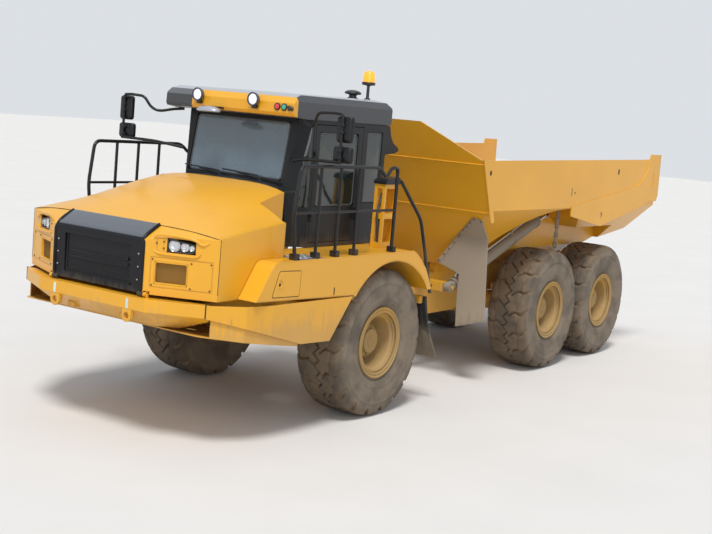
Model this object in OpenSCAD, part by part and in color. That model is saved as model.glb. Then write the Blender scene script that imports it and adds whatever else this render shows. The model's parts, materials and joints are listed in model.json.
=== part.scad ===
// Six-wheel articulated dump truck, in millimetres.
// X points forward, Y to the truck's left, Z up; the origin is on the ground under the middle.

/* [Running gear] */
// Distance from the origin forward to the front axle
front_axle_x = 2300; // [2250:10:2350]
// Distance from the front axle back to the middle axle
wheelbase = 4176; // [4140:2:4220]
// Distance between the middle and the rear axle
bogie_l = 1700; // [1680:10:1740]
// Distance between the wheel centres across the truck
track_w = 2275; // [2260:5:2290]
// Outside diameter of a tyre over its lugs
tyre_d = 1616; // [1590:2:1620]
// Width of a tyre
tyre_w = 595; // [570:5:600]
// Depth of the tread grooves
lug_h = 38; // [25:1:45]
// Width of a tread groove
groove_w = 50; // [35:1:60]
// Number of lugs round one side of a tyre
lug_count = 18; // [14:1:20]
// Outside diameter of a rim flange
rim_d = 780; // [760:5:800]
// Diameter of the wheel hub
hub_d = 390; // [360:5:400]
// Diameter of a wheel spindle
spindle_d = 160; // [140:5:180]
// Diameter of an axle tube
axle_d = 260; // [220:5:280]

/* [Hitch] */
// Distance from the origin forward to the steering hinge
hitch_x = 1150; // [1130:10:1170]
// Height of the oscillation axis
hitch_z = 950; // [930:10:970]
// Diameter of the steering hinge pins
hitch_pin_d = 100; // [80:5:110]
// Radius of the hitch barrel round the steering pins
hitch_barrel_r = 150; // [130:5:155]
// Diameter of the oscillation tube
trunnion_d = 300; // [260:5:320]

/* [Frames] */
// Half distance between the front frame's side beams
front_beam_y = 350; // [330:5:360]
// Thickness of a frame side plate
beam_t = 90; // [70:5:100]
// Half distance to the outside of the rear frame
rear_beam_y = 440; // [420:5:450]
// Top of the rear frame where the body rests
rear_frame_top = 1290; // [1270:5:1300]

/* [Front body] */
// Half width over the fenders
fender_y = 1475; // [1460:5:1480]
// Height of the decks on the fenders
deck_z = 1800; // [1780:5:1810]
// Half width of the hood sides
hood_y = 1250; // [1235:5:1255]
// Height of the hood's lower edge
hood_low_z = 1436; // [1430:2:1445]
// Thickness of the hood and fender panels
panel_t = 12; // [8:1:16]
// Half width of the grille
grille_y = 598; // [580:2:610]
// Top edge of the bumper
bumper_top_z = 1404; // [1395:1:1408]
// Most forward point of the bumper
bumper_x = 5225; // [5215:1:5235]

/* [Cab] */
// Half width of the cab
cab_y = 850; // [830:5:860]
// Rear face of the cab
cab_rear_x = 1700; // [1690:5:1720]
// Lower edge of the cab's side walls
cab_low_z = 1806; // [1802:1:1815]
// Height of the cab's glass line at the front
sill_z = 2464; // [2450:2:2480]
// Height of the eaves under the roof
eave_z = 3130; // [3110:5:3150]
// Top of the cab roof
roof_z = 3390; // [3370:5:3400]
// Thickness of a cab wall
cab_t = 40; // [30:2:50]
// Thickness of the window glass
glass_t = 8; // [6:1:12]

/* [Dump body] */
// Half width of the dump body
body_y = 1445; // [1430:5:1450]
// Height of the body floor's underside
floor_z = 1400; // [1395:1:1410]
// Half width of the flat floor
floor_y = 620; // [600:5:640]
// Height where the sloping sides meet the upright sides
knee_z = 2200; // [2180:5:2220]
// Thickness of the body plates
body_t = 20; // [14:1:26]
// Half width of the trough between the wheels
trough_y = 790; // [780:2:794]
// Distance from the origin back to the dump hinge
dump_x = -4000; // [-4020:5:-3980]
// Height of the dump hinge
dump_z = 1300; // [1290:5:1310]
// Diameter of the dump hinge pins
dump_pin_d = 90; // [70:5:100]

/* [Cylinders] */
// Half distance between the dump cylinders
hoist_y = 900; // [895:1:910]
// Outside diameter of a dump cylinder's barrel
hoist_d = 150; // [130:5:160]
// Diameter of a dump cylinder's rod
hoist_rod_d = 90; // [75:5:100]
// Outside diameter of a steering cylinder's barrel
steer_d = 110; // [90:5:120]
// Diameter of a steering cylinder's rod
steer_rod_d = 56; // [45:1:65]
// Diameter of the cylinders' pins
eye_pin_d = 50; // [40:2:56]

/* [Handrails and guards] */
// Diameter of the handrail tube
rail_d = 38; // [32:1:44]
// Height of the top rail
rail_top_z = 2700; // [2650:10:2720]
// Thickness of the mud guards
guard_t = 14; // [10:1:20]
// Thickness of the rubber flaps
flap_t = 16; // [12:1:20]

/* [Fits] */
// Clearance between a piece and its seat
seat_gap = 0.3; // [0.2:0.1:0.5]
// Clearance of a pin in its bore, on the radius
pin_gap = 2; // [1:0.5:3]
// Clearance between pieces that move past each other
run_gap = 6; // [5:0.5:8]

/* [Hidden] */

// Paints and materials
yellow = [0.90, 0.62, 0.13];
black = [0.09, 0.10, 0.11];
steel = [0.52, 0.49, 0.45];
rubber = [0.36, 0.33, 0.29];
glass = [0.55, 0.66, 0.68, 0.5];
silver = [0.75, 0.74, 0.72];

mid_axle_x = front_axle_x - wheelbase;
rear_axle_x = mid_axle_x - bogie_l;
wheel_y = track_w / 2;
wheel_z = tyre_d / 2;

// Basic shapes: an outline in the side view, the front view or the plan, given a thickness
module side_cut(outline, y_low, y_high)
    translate([0, y_high, 0]) rotate([90, 0, 0]) linear_extrude(y_high - y_low) polygon(outline);
module front_cut(outline, x_low, x_high)
    translate([x_low, 0, 0]) rotate([90, 0, 90]) linear_extrude(x_high - x_low) polygon(outline);
module plan_cut(outline, z_low, z_high)
    translate([0, 0, z_low]) linear_extrude(z_high - z_low) polygon(outline);
module box(low, high) translate(low) cube(high - low);

// The piece and its mirror image on the truck's other side
module both_sides() {
    children();
    mirror([0, 1, 0]) children();
}

// A round bar between two points
module bar(from, to, d) {
    v = to - from;
    l = norm(v);
    turn = [0, acos(v[2] / l), atan2(v[1], v[0])];
    translate(from) rotate(turn) cylinder(h = l, d = d, $fn = 32);
}

// A pin along Y, centred on the given y
module y_pin(x, y_low, y_high, z, d)
    translate([x, y_high, z]) rotate([90, 0, 0]) cylinder(h = y_high - y_low, d = d, $fn = 48);
// A pin along X
module x_pin(x_low, x_high, y, z, d)
    translate([x_low, y, z]) rotate([0, 90, 0]) cylinder(h = x_high - x_low, d = d, $fn = 48);

// A half outline, right of the centre line, closed by its mirror image
function mirrored(half) = concat(half, [for (i = [len(half) - 1:-1:0]) [-half[i][0], half[i][1]]]);
// The same for a plan, whose points are x, y
function mirrored_plan(half) = concat(half, [for (i = [len(half) - 1:-1:0]) [half[i][0], -half[i][1]]]);

// A closed solid through a list of rings, each with the same number of points
module loft(rings) {
    n = len(rings[0]);
    m = len(rings);
    points = [for (ring = rings, p = ring) p];
    walls = [for (i = [0:m - 2], j = [0:n - 1], k = [0, 1])
        let (a = i * n + j, b = i * n + (j + 1) % n)
        k == 0 ? [a, b, b + n] : [a, b + n, a + n]];
    ends = [[for (j = [n - 1:-1:0]) j], [for (j = [0:n - 1]) (m - 1) * n + j]];
    polyhedron(points, concat(walls, ends), convexity = 6);
}

function unit(v) = v / norm(v);

// A path with each corner rounded over the given length
function bent(points, reach) = concat([points[0]], [for (i = [1:len(points) - 2], t = [0:0.25:1])
    let (p = points[i], a = points[i - 1] - p, b = points[i + 1] - p,
        near = min(reach, norm(a) * 0.45, norm(b) * 0.45))
    p + unit(a) * near * (1 - t) * (1 - t) + unit(b) * near * t * t], [points[len(points) - 1]]);
// The rings of a tube along a path: each ring slides along its leg to the plane that halves the next corner
function tube_rings(path, ring, i) = i == len(path) ? [] :
    let (u = unit(path[i] - path[i - 1]),
        t = i == len(path) - 1 ? u : unit(u + unit(path[i + 1] - path[i])),
        next = [for (p = ring) p + u * ((path[i] - p) * t) / (u * t)])
    concat([next], tube_rings(path, next, i + 1));

// A bent tube through a list of points
module tube_path(points, d, reach = 80) {
    path = bent(points, reach);
    u = unit(path[1] - path[0]);
    side = unit(cross(u, abs(u[2]) > 0.9 ? [1, 0, 0] : [0, 0, 1]));
    ring = [for (a = [0:36:324]) path[0] + (cos(a) * side + sin(a) * cross(side, u)) * d / 2];
    loft(concat([ring], tube_rings(path, ring, 1)));
}

// Wheels

// Half profile of a tyre: radius, then distance from the middle plane
tyre_bead_r = 318;
tyre_bead_w = 245;
tyre_half = [[tyre_bead_r, 0], [tyre_bead_r, tyre_bead_w], [rim_d / 2 + 8, tyre_bead_w],
    [rim_d / 2 + 60, tyre_w / 2 - 18], [tyre_d / 2 - 230, tyre_w / 2], [tyre_d / 2 - 90, tyre_w / 2 - 14],
    [tyre_d / 2 - 22, tyre_w / 2 - 34], [tyre_d / 2 - 4, tyre_w / 2 - 90], [tyre_d / 2, 0]];

module revolve_y(profile)
    rotate([-90, 0, 0]) rotate_extrude($fn = 96) polygon(profile);

module wheel_place(x, side)
    translate([x, side * wheel_y, wheel_z]) mirror([0, side < 0 ? 1 : 0, 0]) children();

// A leaning groove from near the middle of the tread out over one shoulder
groove_lean = 22;
groove_in_y = 45;
groove_out_y = 345;
groove_phase = 5;
module tread_groove(dir) rotate([dir * groove_lean, 0, 0])
    translate([tyre_d / 2 - lug_h, dir > 0 ? groove_in_y : -groove_out_y, -groove_w / 2])
        cube([lug_h + 30, groove_out_y - groove_in_y, groove_w]);
module tyre(x, side) color(rubber) wheel_place(x, side) difference() {
    revolve_y(concat(tyre_half, [for (i = [len(tyre_half) - 2:-1:1]) [tyre_half[i][0],
        -tyre_half[i][1]]]));
    for (i = [0:lug_count - 1], dir = [1, -1])
        rotate([0, groove_phase + (i + (dir > 0 ? 0 : 0.5)) * 360 / lug_count, 0]) tread_groove(dir);
}

// The rim, its dish and the hub as one revolved piece, its open side outwards
rim_r = rim_d / 2;
hub_r = hub_d / 2;
bore_r = spindle_d / 2 + pin_gap;
hub_back = -232;
hub_front = 150;
rim_profile = [[bore_r, hub_back], [hub_r, hub_back], [hub_r, -50], [290, -20], [290, -262],
    [rim_r, -262],
    [rim_r, -tyre_bead_w - seat_gap], [tyre_bead_r - seat_gap, -tyre_bead_w - seat_gap],
    [tyre_bead_r - seat_gap, tyre_bead_w + seat_gap], [rim_r, tyre_bead_w + seat_gap], [rim_r, 262],
    [330, 266], [300, 240], [300, 20], [hub_r + 10, 0], [hub_r, 8], [hub_r, hub_front - 40],
    [hub_r - 45, hub_front], [0, hub_front], [0, hub_front - 40], [bore_r, hub_front - 40]];

module rim(x, side) color(yellow) wheel_place(x, side) revolve_y(rim_profile);

module tyre_front_left() tyre(front_axle_x, 1);
module tyre_front_right() tyre(front_axle_x, -1);
module tyre_mid_left() tyre(mid_axle_x, 1);
module tyre_mid_right() tyre(mid_axle_x, -1);
module tyre_rear_left() tyre(rear_axle_x, 1);
module tyre_rear_right() tyre(rear_axle_x, -1);
module rim_front_left() rim(front_axle_x, 1);
module rim_front_right() rim(front_axle_x, -1);
module rim_mid_left() rim(mid_axle_x, 1);
module rim_mid_right() rim(mid_axle_x, -1);
module rim_rear_left() rim(rear_axle_x, 1);
module rim_rear_right() rim(rear_axle_x, -1);

// Axles

// Half profile of an axle: radius, then distance from the truck's middle
axle_flange_y = wheel_y + hub_back - run_gap;
axle_r = axle_d / 2;
axle_half = [[260, 0], [250, 120], [180, 250], [axle_r, 330], [axle_r, axle_flange_y - 70],
    [220, axle_flange_y - 50], [220, axle_flange_y], [spindle_d / 2, axle_flange_y],
    [spindle_d / 2, wheel_y + hub_front - 50], [0, wheel_y + hub_front - 50]];
// Half distance and half width of the pads that carry the beams
front_pad_y = [front_beam_y - beam_t / 2, front_beam_y + beam_t / 2];
bogie_pad_y = [540, 680];
axle_pad_z = 965;

// The nose takes the drive shaft: forwards, or backwards with the axle turned round
module axle(x, pad_y, turn) {
    translate([x, 0, wheel_z]) rotate([0, turn, 0]) {
        revolve_y(concat([for (i = [len(axle_half) - 1:-1:1]) [axle_half[i][0], -axle_half[i][1]]],
            axle_half));
        x_pin(120, 430, 0, 0, 190);
    }
    both_sides() box([x - 100, pad_y[0], wheel_z], [x + 100, pad_y[1], axle_pad_z]);
}
// Suspension struts between the front axle and the frame: place across, and heights of their ends
strut_y = 520;
strut_z = [950, 1120];
module front_axle() color(yellow) {
    axle(front_axle_x, front_pad_y, 180);
    both_sides() box([front_axle_x - 70, strut_y - 60, wheel_z],
        [front_axle_x + 70, strut_y + 60, strut_z[0]]);
}
module front_struts() color(steel) both_sides() {
    translate([front_axle_x, strut_y, strut_z[0] + seat_gap]) cylinder(h = 90, d = 84, $fn = 32);
    translate([front_axle_x, strut_y, strut_z[0] + 80])
        cylinder(h = strut_z[1] - strut_z[0] - 80 - seat_gap, d = 112, $fn = 32);
}
module mid_axle() color(yellow) {
    axle(mid_axle_x, bogie_pad_y, 0);
    // Drive through to the rear axle
    box([mid_axle_x - 430, -60, wheel_z - 60], [mid_axle_x - 150, 60, wheel_z + 60]);
}
module rear_axle() color(yellow) axle(rear_axle_x, bogie_pad_y, 0);

// Front frame

head_x = hitch_x + 230;
head_y = 300;
beam_in_y = front_beam_y - beam_t / 2;
beam_out_y = front_beam_y + beam_t / 2;
// Heights of the two ears that carry the steering hinge pins: underside and top
ear_low = [hitch_z - 330, hitch_z - 280];
ear_high = [hitch_z + 280, hitch_z + 330];
frame_front_x = 4760;
cross_z = [1180, 1260];
front_cross_x = 3130;
rear_cross_x = 1440;
// Places of the posts that carry the cab
cab_post_x = [1830, 2900];
steer_z = hitch_z + 26;
steer_arm_z = [steer_z - steer_d / 2 - 71, steer_z - steer_d / 2 - 9];
// Steering cylinder pins on the front frame and on the hitch, from the steering hinge
steer_pin = [800, 540];
steer_eye = [-180, 330];

beam_outline = [[head_x + 280, 700], [1980, 700], [2110, axle_pad_z + seat_gap],
    [2490, axle_pad_z + seat_gap],
    [2700, 860], [3700, 1000], [frame_front_x, 1150], [frame_front_x, 1215], [3000, 1240],
    [head_x + 280, 1240]];

module front_frame() color(yellow) {
    both_sides() {
        side_cut(beam_outline, beam_in_y, beam_out_y);
        side_cut([[head_x, 600], [head_x + 330, 700], [head_x + 330, 1240], [head_x, 1320]],
            head_y - 80, head_y + 10);
        for (x = cab_post_x) box([x, beam_in_y, 1200], [x + 90, beam_out_y, cab_low_z - seat_gap]);
        // Upper seat of a suspension strut
        box([front_axle_x - 80, beam_out_y - 5, strut_z[1]],
            [front_axle_x + 80, strut_y + 70, strut_z[1] + 60]);
    }
    // Head plate, ears and steering hinge pins
    box([head_x, -head_y, ear_low[0]], [head_x + 60, head_y, ear_high[1]]);
    for (z = [ear_low, ear_high]) {
        plan_cut([[hitch_x, -150], [head_x, -head_y + 40], [head_x + 60, -head_y + 40],
            [head_x + 60, head_y - 40], [head_x, head_y - 40], [hitch_x, 150]], z[0], z[1]);
        translate([hitch_x, 0, z[0]]) cylinder(h = z[1] - z[0], r = 150, $fn = 64);
    }
    for (z = [[ear_low[0], ear_low[1] + 160], [ear_high[0] - 160, ear_high[1]]])
        translate([hitch_x, 0, z[0]]) cylinder(h = z[1] - z[0], d = hitch_pin_d, $fn = 48);
    // Cross members that carry the fenders
    box([front_cross_x, -hood_y, cross_z[0]], [front_cross_x + 80, hood_y, cross_z[1]]);
    box([rear_cross_x + 60, -1400, cross_z[0]], [rear_cross_x + 120, 1400, cross_z[1]]);
    box([frame_front_x - 60, -beam_in_y, 1150], [frame_front_x, beam_in_y, 1215]);
}

engine_x = [3420, 4680];
engine_z = [1160, 1900];
module engine_block() color(black) {
    engine_y = beam_in_y - seat_gap;
    box([engine_x[0], -engine_y, engine_z[0]], [engine_x[1], engine_y, engine_z[1]]);
    // Gearbox between the engine and the front axle
    box([2760, -220, 900], [engine_x[0] + 10, 220, 1172]);
}

// Bumper: a bent face plate with a chin below it and a skirt on each side

// Plan of the face: x, y
bumper_flat_y = 700;
bumper_end = [4954, 1204];
bumper_rear_x = 4900;
bumper_turn = atan2(bumper_x - bumper_end[0], bumper_end[1] - bumper_flat_y);
bumper_low_z = 1130;
crease_z = 1285;
skirt_plan = [[4948, 1206], [4620, 1420], [4300, fender_y], [3000, fender_y]];
module bumper_half(inset, rear_x) difference() {
    plan_cut([[bumper_x - inset, -1], [bumper_x - inset, bumper_flat_y],
        [bumper_end[0] - inset, bumper_end[1] - inset],
        [rear_x, bumper_end[1] - inset], [rear_x, -1]], bumper_low_z + inset, bumper_top_z - inset);
    // The chin slopes back under the face, in the middle and along the swept ends
    bumper_chin(inset, -2, 1300);
    translate([bumper_x, bumper_flat_y, 0]) rotate([0, 0, bumper_turn]) translate([-bumper_x, 0, 0])
        bumper_chin(inset, -60, 700);
}
module bumper_chin(inset, from_y, to_y)
    side_cut([[bumper_x - inset, crease_z], [bumper_x + 50, crease_z], [bumper_x + 50, 1080],
        [4700, 1080],
        [5010 - inset, bumper_low_z + inset]], from_y, to_y);
// Axis of the hood's hinge: x, z, and the width of its barrels
hood_hinge = [5140, 1432];
hinge_y = [612, 640];
tow_eye_y = 482;
tow_eye_z = 1221;
module tow_eye() difference() {
    union() {
        x_pin(bumper_x - 42, bumper_x - 2, tow_eye_y, tow_eye_z, 120);
        box([bumper_x - 42, tow_eye_y - 60, tow_eye_z], [bumper_x - 2, tow_eye_y + 60, 1300]);
    }
    x_pin(bumper_x - 80, bumper_x, tow_eye_y, tow_eye_z, 64);
}
module bumper() color(yellow) {
    both_sides() {
        difference() {
            bumper_half(0, bumper_rear_x);
            bumper_half(panel_t, bumper_rear_x - 10);
        }
        tow_eye();
        // Skirt below the fender
        intersection() {
            side_cut([[4948, 1280], [3843, 979], [3355, 959], [3010, 1380], [3010, 1388],
                [4948, bumper_top_z]], 1100, 1600);
            difference() {
                plan_cut(concat(skirt_plan, [[3000, 1100], [4948, 1100]]), 900, 1450);
                plan_cut(concat([for (p = skirt_plan) [p[0], p[1] - panel_t]],
                    [[2990, 1090], [4960, 1090]]), 890, 1460);
            }
        }
        // Brackets back to the frame
        box([frame_front_x + seat_gap, beam_in_y, 1160], [5130, beam_out_y, 1210]);
        box([4690, beam_out_y, 1235], [4745, 1345, 1280]);
        // Ears and pins of the hood's hinge
        box([hood_hinge[0] - 14, hinge_y[1] + 6, bumper_top_z - 6],
            [hood_hinge[0] + 14, hinge_y[1] + 18, hood_hinge[1]]);
        y_pin(hood_hinge[0], hinge_y[0] - 6, hinge_y[1] + 18, hood_hinge[1], 22);
    }
    // Beam across the top that carries the skirts
    box([4690, -beam_out_y - 10, 1220], [4745, beam_out_y + 10, 1280]);
    box([4735, -60, 1225], [5100, 60, 1275]);
}
// Plate under the engine, from the bumper down and back to the skirts' tips
belly_x = [3850, 4985];
belly_z = [955, 1111];
belly_side = [[4940, 1186], [4620, 1398], [4300, 1453], [3800, 1455]];
module belly_plate() color(yellow) {
    difference() {
        side_cut([[belly_x[0], belly_z[0]], [belly_x[1], belly_z[1]],
            [belly_x[1], belly_z[1] + panel_t], [belly_x[0], belly_z[0] + panel_t]],
            -1430, 1430);
        both_sides() {
            plan_cut(concat([[4985, 1150]], belly_side, [[3800, 1500], [5100, 1500], [5100, 1150]]),
                900, 1300);
            translate([4560, 700, 900]) cylinder(h = 400, d = 110, $fn = 32);
            translate([4250, 420, 900]) cylinder(h = 400, d = 90, $fn = 32);
        }
    }
    // Walls up to the skirts
    both_sides() intersection() {
        side_cut([[4886, 1098], [4886, 1268], [belly_x[0] + 6, 986], [belly_x[0] + 6, belly_z[0] + 1]],
            1100, 1600);
        difference() {
            plan_cut(concat(belly_side, [[3800, 1100], [4940, 1100]]), 900, 1400);
            plan_cut(concat([for (p = belly_side) [p[0], p[1] - panel_t]],
                [[3790, 1090], [4950, 1090]]), 890, 1410);
        }
    }
    // Hangers up to the frame
    both_sides() for (x = [4100, 4600]) {
        top = 1000 + (x - 3700) * 150 / 1060 - seat_gap;
        box([x - 60, beam_in_y, belly_z[0] + (x - 60 - belly_x[0]) * 0.145],
            [x + 10, beam_out_y, top - 10]);
    }
}

// Fenders with their decks and arches

arch_x = front_axle_x - 40;
arch_r = tyre_d / 2 + 92;
deck_t = 12;
deck_in_y = wheel_y - tyre_w / 2 - 30;
deck_rear_x = 1900;
fender_front = [[4578, 1446], [4540, 1490], [4370, 1740], [4330, 1782], [4260, 1806]];
fender_rear = [[1840, 1780], [1720, 1700], [1600, 1580], [1500, 1430], [1461, 1347]];
arch_edge = [for (a = [143:-4:39]) [arch_x + arch_r * cos(a), wheel_z + arch_r * sin(a)]];

module fender() color(yellow) {
    // Outer panel with its arch and the parting line of the hatch
    difference() {
        side_cut(concat(fender_front, [[deck_rear_x, deck_z + 6]], fender_rear, arch_edge,
            [[3000, 1396]]),
            fender_y - panel_t, fender_y);
        difference() {
            side_cut([[3480, 1480], [3940, 1480], [3940, 1720], [3560, 1720], [3480, 1690]],
                fender_y - 5, fender_y + 1);
            side_cut([[3488, 1488], [3932, 1488], [3932, 1712], [3564, 1712], [3488, 1684]],
                fender_y - 6, fender_y + 2);
        }
    }
    // Deck
    box([deck_rear_x, deck_in_y, deck_z - deck_t], [3440, fender_y - panel_t, deck_z]);
    box([3430, 915, deck_z - deck_t], [3915, fender_y - panel_t, deck_z]);
    box([3840, hood_y + run_gap, deck_z - deck_t], [4262, fender_y - panel_t, deck_z]);
    // Folded front face and inner walls
    intersection() {
        difference() {
            side_cut(concat(fender_front, [[3000, 1806], [3000, 1446]]), hood_y + run_gap,
                fender_y - panel_t);
            translate([-panel_t * 1.4, 0, -panel_t])
                side_cut(concat(fender_front, [[2900, 1806], [2900, 1300], [4578, 1300]]), hood_y,
                    fender_y);
        }
        box([3900, 0, 1300], [5000, 2000, deck_z]);
    }
    box([3130, deck_in_y, cross_z[1] + seat_gap], [3142, fender_y - panel_t, deck_z - deck_t]);
    // Arch liner over the tyre
    intersection() {
        difference() {
            y_pin(arch_x, deck_in_y + 2, fender_y - panel_t, wheel_z, 2 * arch_r + 28);
            y_pin(arch_x, deck_in_y - 1, fender_y, wheel_z, 2 * arch_r + 8);
        }
        box([1500, 0, 1350], [3000, 2000, 1720]);
    }
    // Inner wall that closes the arch
    difference() {
        box([1530, deck_in_y, cross_z[1] + 30], [3140, deck_in_y + panel_t, deck_z - deck_t + 2]);
        box([1500, 0, 1560], [1680, 2000, 1900]);
    }
}
module fender_left() fender();
module fender_right() mirror([0, 1, 0]) fender();

// Cab

// Plan and side outlines of the cab, drawn in by the inset
cab_front_x = 3290;
cab_slope_x = 3180;
module cab_solid(inset) intersection() {
    side_cut([[cab_rear_x + inset, cab_low_z + inset], [3225 - inset, cab_low_z + inset],
        [cab_front_x - inset, sill_z],
        [cab_slope_x - inset, eave_z - inset * 0.4], [cab_rear_x + inset, eave_z - inset * 0.4]],
        -cab_y, cab_y);
    plan_cut(mirrored_plan([[cab_rear_x + inset, cab_y - inset], [3050, cab_y - inset],
        [cab_front_x, 670 - inset]]), 1700, 3400);
}
// Openings in the cab's walls: low corner, high corner
door_x = [2150, 3020];
door_z = [1850, 3090];
window_front = [[3060, -645, 2480], [3400, 645, 3092]];
window_right = [[2230, -1000, 2240], [2960, -700, 3040]];
windows_rear_side = [[1770, 700, 2260], [2070, 1000, 3040]];
window_rear = [[1600, -600, 2300], [1760, 600, 3040]];
module window_cuts(shrink) {
    s = [shrink, shrink, shrink];
    box(window_front[0] + s, window_front[1] - s);
    box(window_right[0] + s, window_right[1] - s);
    both_sides() box(windows_rear_side[0] + s, windows_rear_side[1] - s);
    box(window_rear[0] + s, window_rear[1] - s);
}
// Door hinge: place of its axis in the plan, heights of its two knuckles, their diameter
door_hinge = [3017, 866];
door_hinge_z = [2080, 2720];
hinge_d = 28;
cowl_outline = [[cab_rear_x, 3125], [1640, 3120], [1600, 3000], [1540, 2930], [1440, 2880], [1425, 2850],
    [1500, 2815], [cab_rear_x, 2800]];
module cab_shell() color(black) {
    difference() {
        cab_solid(0);
        cab_solid(cab_t);
        window_cuts(0);
        box([door_x[0], cab_y - cab_t - 10, door_z[0]], [door_x[1], cab_y + 10, door_z[1]]);
    }
    for (z = door_hinge_z) {
        translate([door_hinge[0], door_hinge[1], z]) cylinder(h = 40, d = hinge_d, $fn = 32);
        translate([door_hinge[0], door_hinge[1], z]) cylinder(h = 88, d = 12, $fn = 24);
        box([door_hinge[0] + 7, cab_y - 5, z], [door_hinge[0] + 30, door_hinge[1], z + 40]);
    }
    // Shroud across the rear under the roof
    both_sides() difference() {
        side_cut(cowl_outline, 560, cab_y);
        translate([16, 0, -16]) side_cut(cowl_outline, 576, cab_y - 16);
    }
}
module cab_glass() color(glass) intersection() {
    difference() {
        cab_solid(14);
        cab_solid(14 + glass_t);
    }
    window_cuts(seat_gap);
}
// Black panel between the windshield and the hood, with the wipers
scuttle_x = [cab_front_x + seat_gap, 3476];
module scuttle() color(black) {
    intersection() {
        side_cut([[scuttle_x[0], 2380], [scuttle_x[0], sill_z - 4], [3370, sill_z + 2],
            [scuttle_x[1], 2446], [scuttle_x[1], 2380]],
            -cab_y, cab_y);
        front_cut(mirrored([[cab_y - 5, 2300], [cab_y - 5, 2402], [480, sill_z - 12],
            [200, sill_z + 6]]), 3200, 3600);
    }
    for (y = [-120, 420]) {
        translate([3352, y, sill_z - 30]) cylinder(h = 46, d = 44, $fn = 24);
        bar([3352, y, sill_z + 12], [3316, y - 330, sill_z + 52], 18);
        bar([3314, y - 60, sill_z + 44], [3296, y - 560, sill_z + 66], 14);
    }
}
roof_outline = [[1650, eave_z + seat_gap], [3290, eave_z + seat_gap], [3440, 3150], [3455, 3180],
    [3450, 3280],
    [3400, 3340], [3300, 3370], [2300, roof_z], [1880, roof_z], [1720, 3372], [1650, 3320]];
module roof_solid() intersection() {
    side_cut(roof_outline, -cab_y - 20, cab_y + 20);
    front_cut(mirrored([[cab_y + 20, 3100], [cab_y + 20, 3300], [cab_y - 24, 3370],
        [cab_y - 66, roof_z]]), 1600, 3500);
}
// The band over the windshield: place of its rear edge and of its right end
visor_x = 3385;
visor_right_y = -500;
module cab_roof() color(silver) difference() {
    roof_solid();
    box([visor_x - seat_gap, visor_right_y - seat_gap, 3100], [3500, 900, 3500]);
}
module roof_visor() color(yellow) intersection() {
    roof_solid();
    box([visor_x, visor_right_y, 3100], [3500, 900, 3500]);
}
door_gap = 6;
module door_blank(y_low, y_high)
    box([door_x[0] + door_gap, y_low, door_z[0] + door_gap],
        [door_x[1] - door_gap, y_high, door_z[1] - door_gap]);
door_window = [[2240, 0, 2230], [2940, 2000, 3010]];
module cab_door() color(black) {
    difference() {
        door_blank(cab_y - cab_t, cab_y);
        box(door_window[0], door_window[1]);
    }
    // Handle
    box([2200, cab_y - 5, 2080], [2230, cab_y + 36, 2220]);
    for (z = door_hinge_z) difference() {
        union() {
            translate([door_hinge[0], door_hinge[1], z + 46]) cylinder(h = 40, d = hinge_d, $fn = 32);
            box([door_hinge[0] - 30, cab_y - 5, z + 46], [door_hinge[0] - 7, door_hinge[1], z + 86]);
        }
        translate([door_hinge[0], door_hinge[1], z]) cylinder(h = 100, d = 12 + 2 * pin_gap, $fn = 24);
    }
}
module door_glass() color(glass)
    box([door_window[0][0] + seat_gap, cab_y - 24, door_window[0][2] + seat_gap],
        [door_window[1][0] - seat_gap, cab_y - 24 + glass_t, door_window[1][2] - seat_gap]);

seat_x = 2350;
cab_floor_z = cab_low_z + cab_t;
module cab_seat() color(black) {
    box([seat_x - 220, -180, cab_floor_z + seat_gap], [seat_x + 180, 180, cab_floor_z + 260]);
    box([seat_x - 260, -260, cab_floor_z + 260], [seat_x + 260, 260, cab_floor_z + 390]);
    side_cut([[seat_x - 260, cab_floor_z + 300], [seat_x - 120, cab_floor_z + 300],
        [seat_x - 230, cab_floor_z + 1120],
        [seat_x - 340, cab_floor_z + 1120]], -240, 240);
    // Dash, steering column and wheel
    side_cut([[2960, cab_floor_z + seat_gap], [3150, cab_floor_z + seat_gap], [3215, 2440],
        [3080, 2480], [2920, 2380]], -620, 620);
    bar([3000, 0, 2380], [2820, 0, 2520], 70);
    translate([2800, 0, 2536]) rotate([0, -38, 0]) {
        rotate_extrude($fn = 48) polygon([[186, -8], [194, -16], [208, -16], [216, -8], [216, 8],
            [208, 16], [194, 16], [186, 8]]);
        for (a = [90, 210, 330]) rotate(a) translate([10, -20, -6]) cube([185, 40, 12]);
        translate([0, 0, -12]) cylinder(h = 24, r = 50, $fn = 32);
    }
}

// Roof gear: two work lamps, two signal lamps, air intake and beacon
beacon = [2000, 752];
intake = [1980, 540];
roof_face_x = 3456;
work_lamp_y = 377;
lamp_z = 3290;
signal_lamp_y = [655, 740];
module roof_lamps() color(black) {
    both_sides() translate([roof_face_x, work_lamp_y, lamp_z]) rotate([0, 90, 0])
        rotate_extrude($fn = 48) polygon([[0, 0], [50, 0], [66, 24], [66, 60], [0, 66]]);
    for (y = signal_lamp_y) x_pin(roof_face_x - 2, roof_face_x + 16, y, 3236, 52);
    translate([beacon[0], beacon[1], roof_z + seat_gap]) rotate_extrude($fn = 48)
        polygon([[0, 0], [18, 0], [18, 156], [75, 166], [75, 201], [68, 296], [50, 311], [0, 316]]);
    translate([intake[0], intake[1], roof_z + seat_gap]) rotate_extrude($fn = 48)
        polygon([[0, 0], [45, 0], [45, 28], [92, 34], [98, 62], [70, 90], [0, 95]]);
}

// Handrails

rail_y = 1400;
rail_mid_z = 2250;
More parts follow.
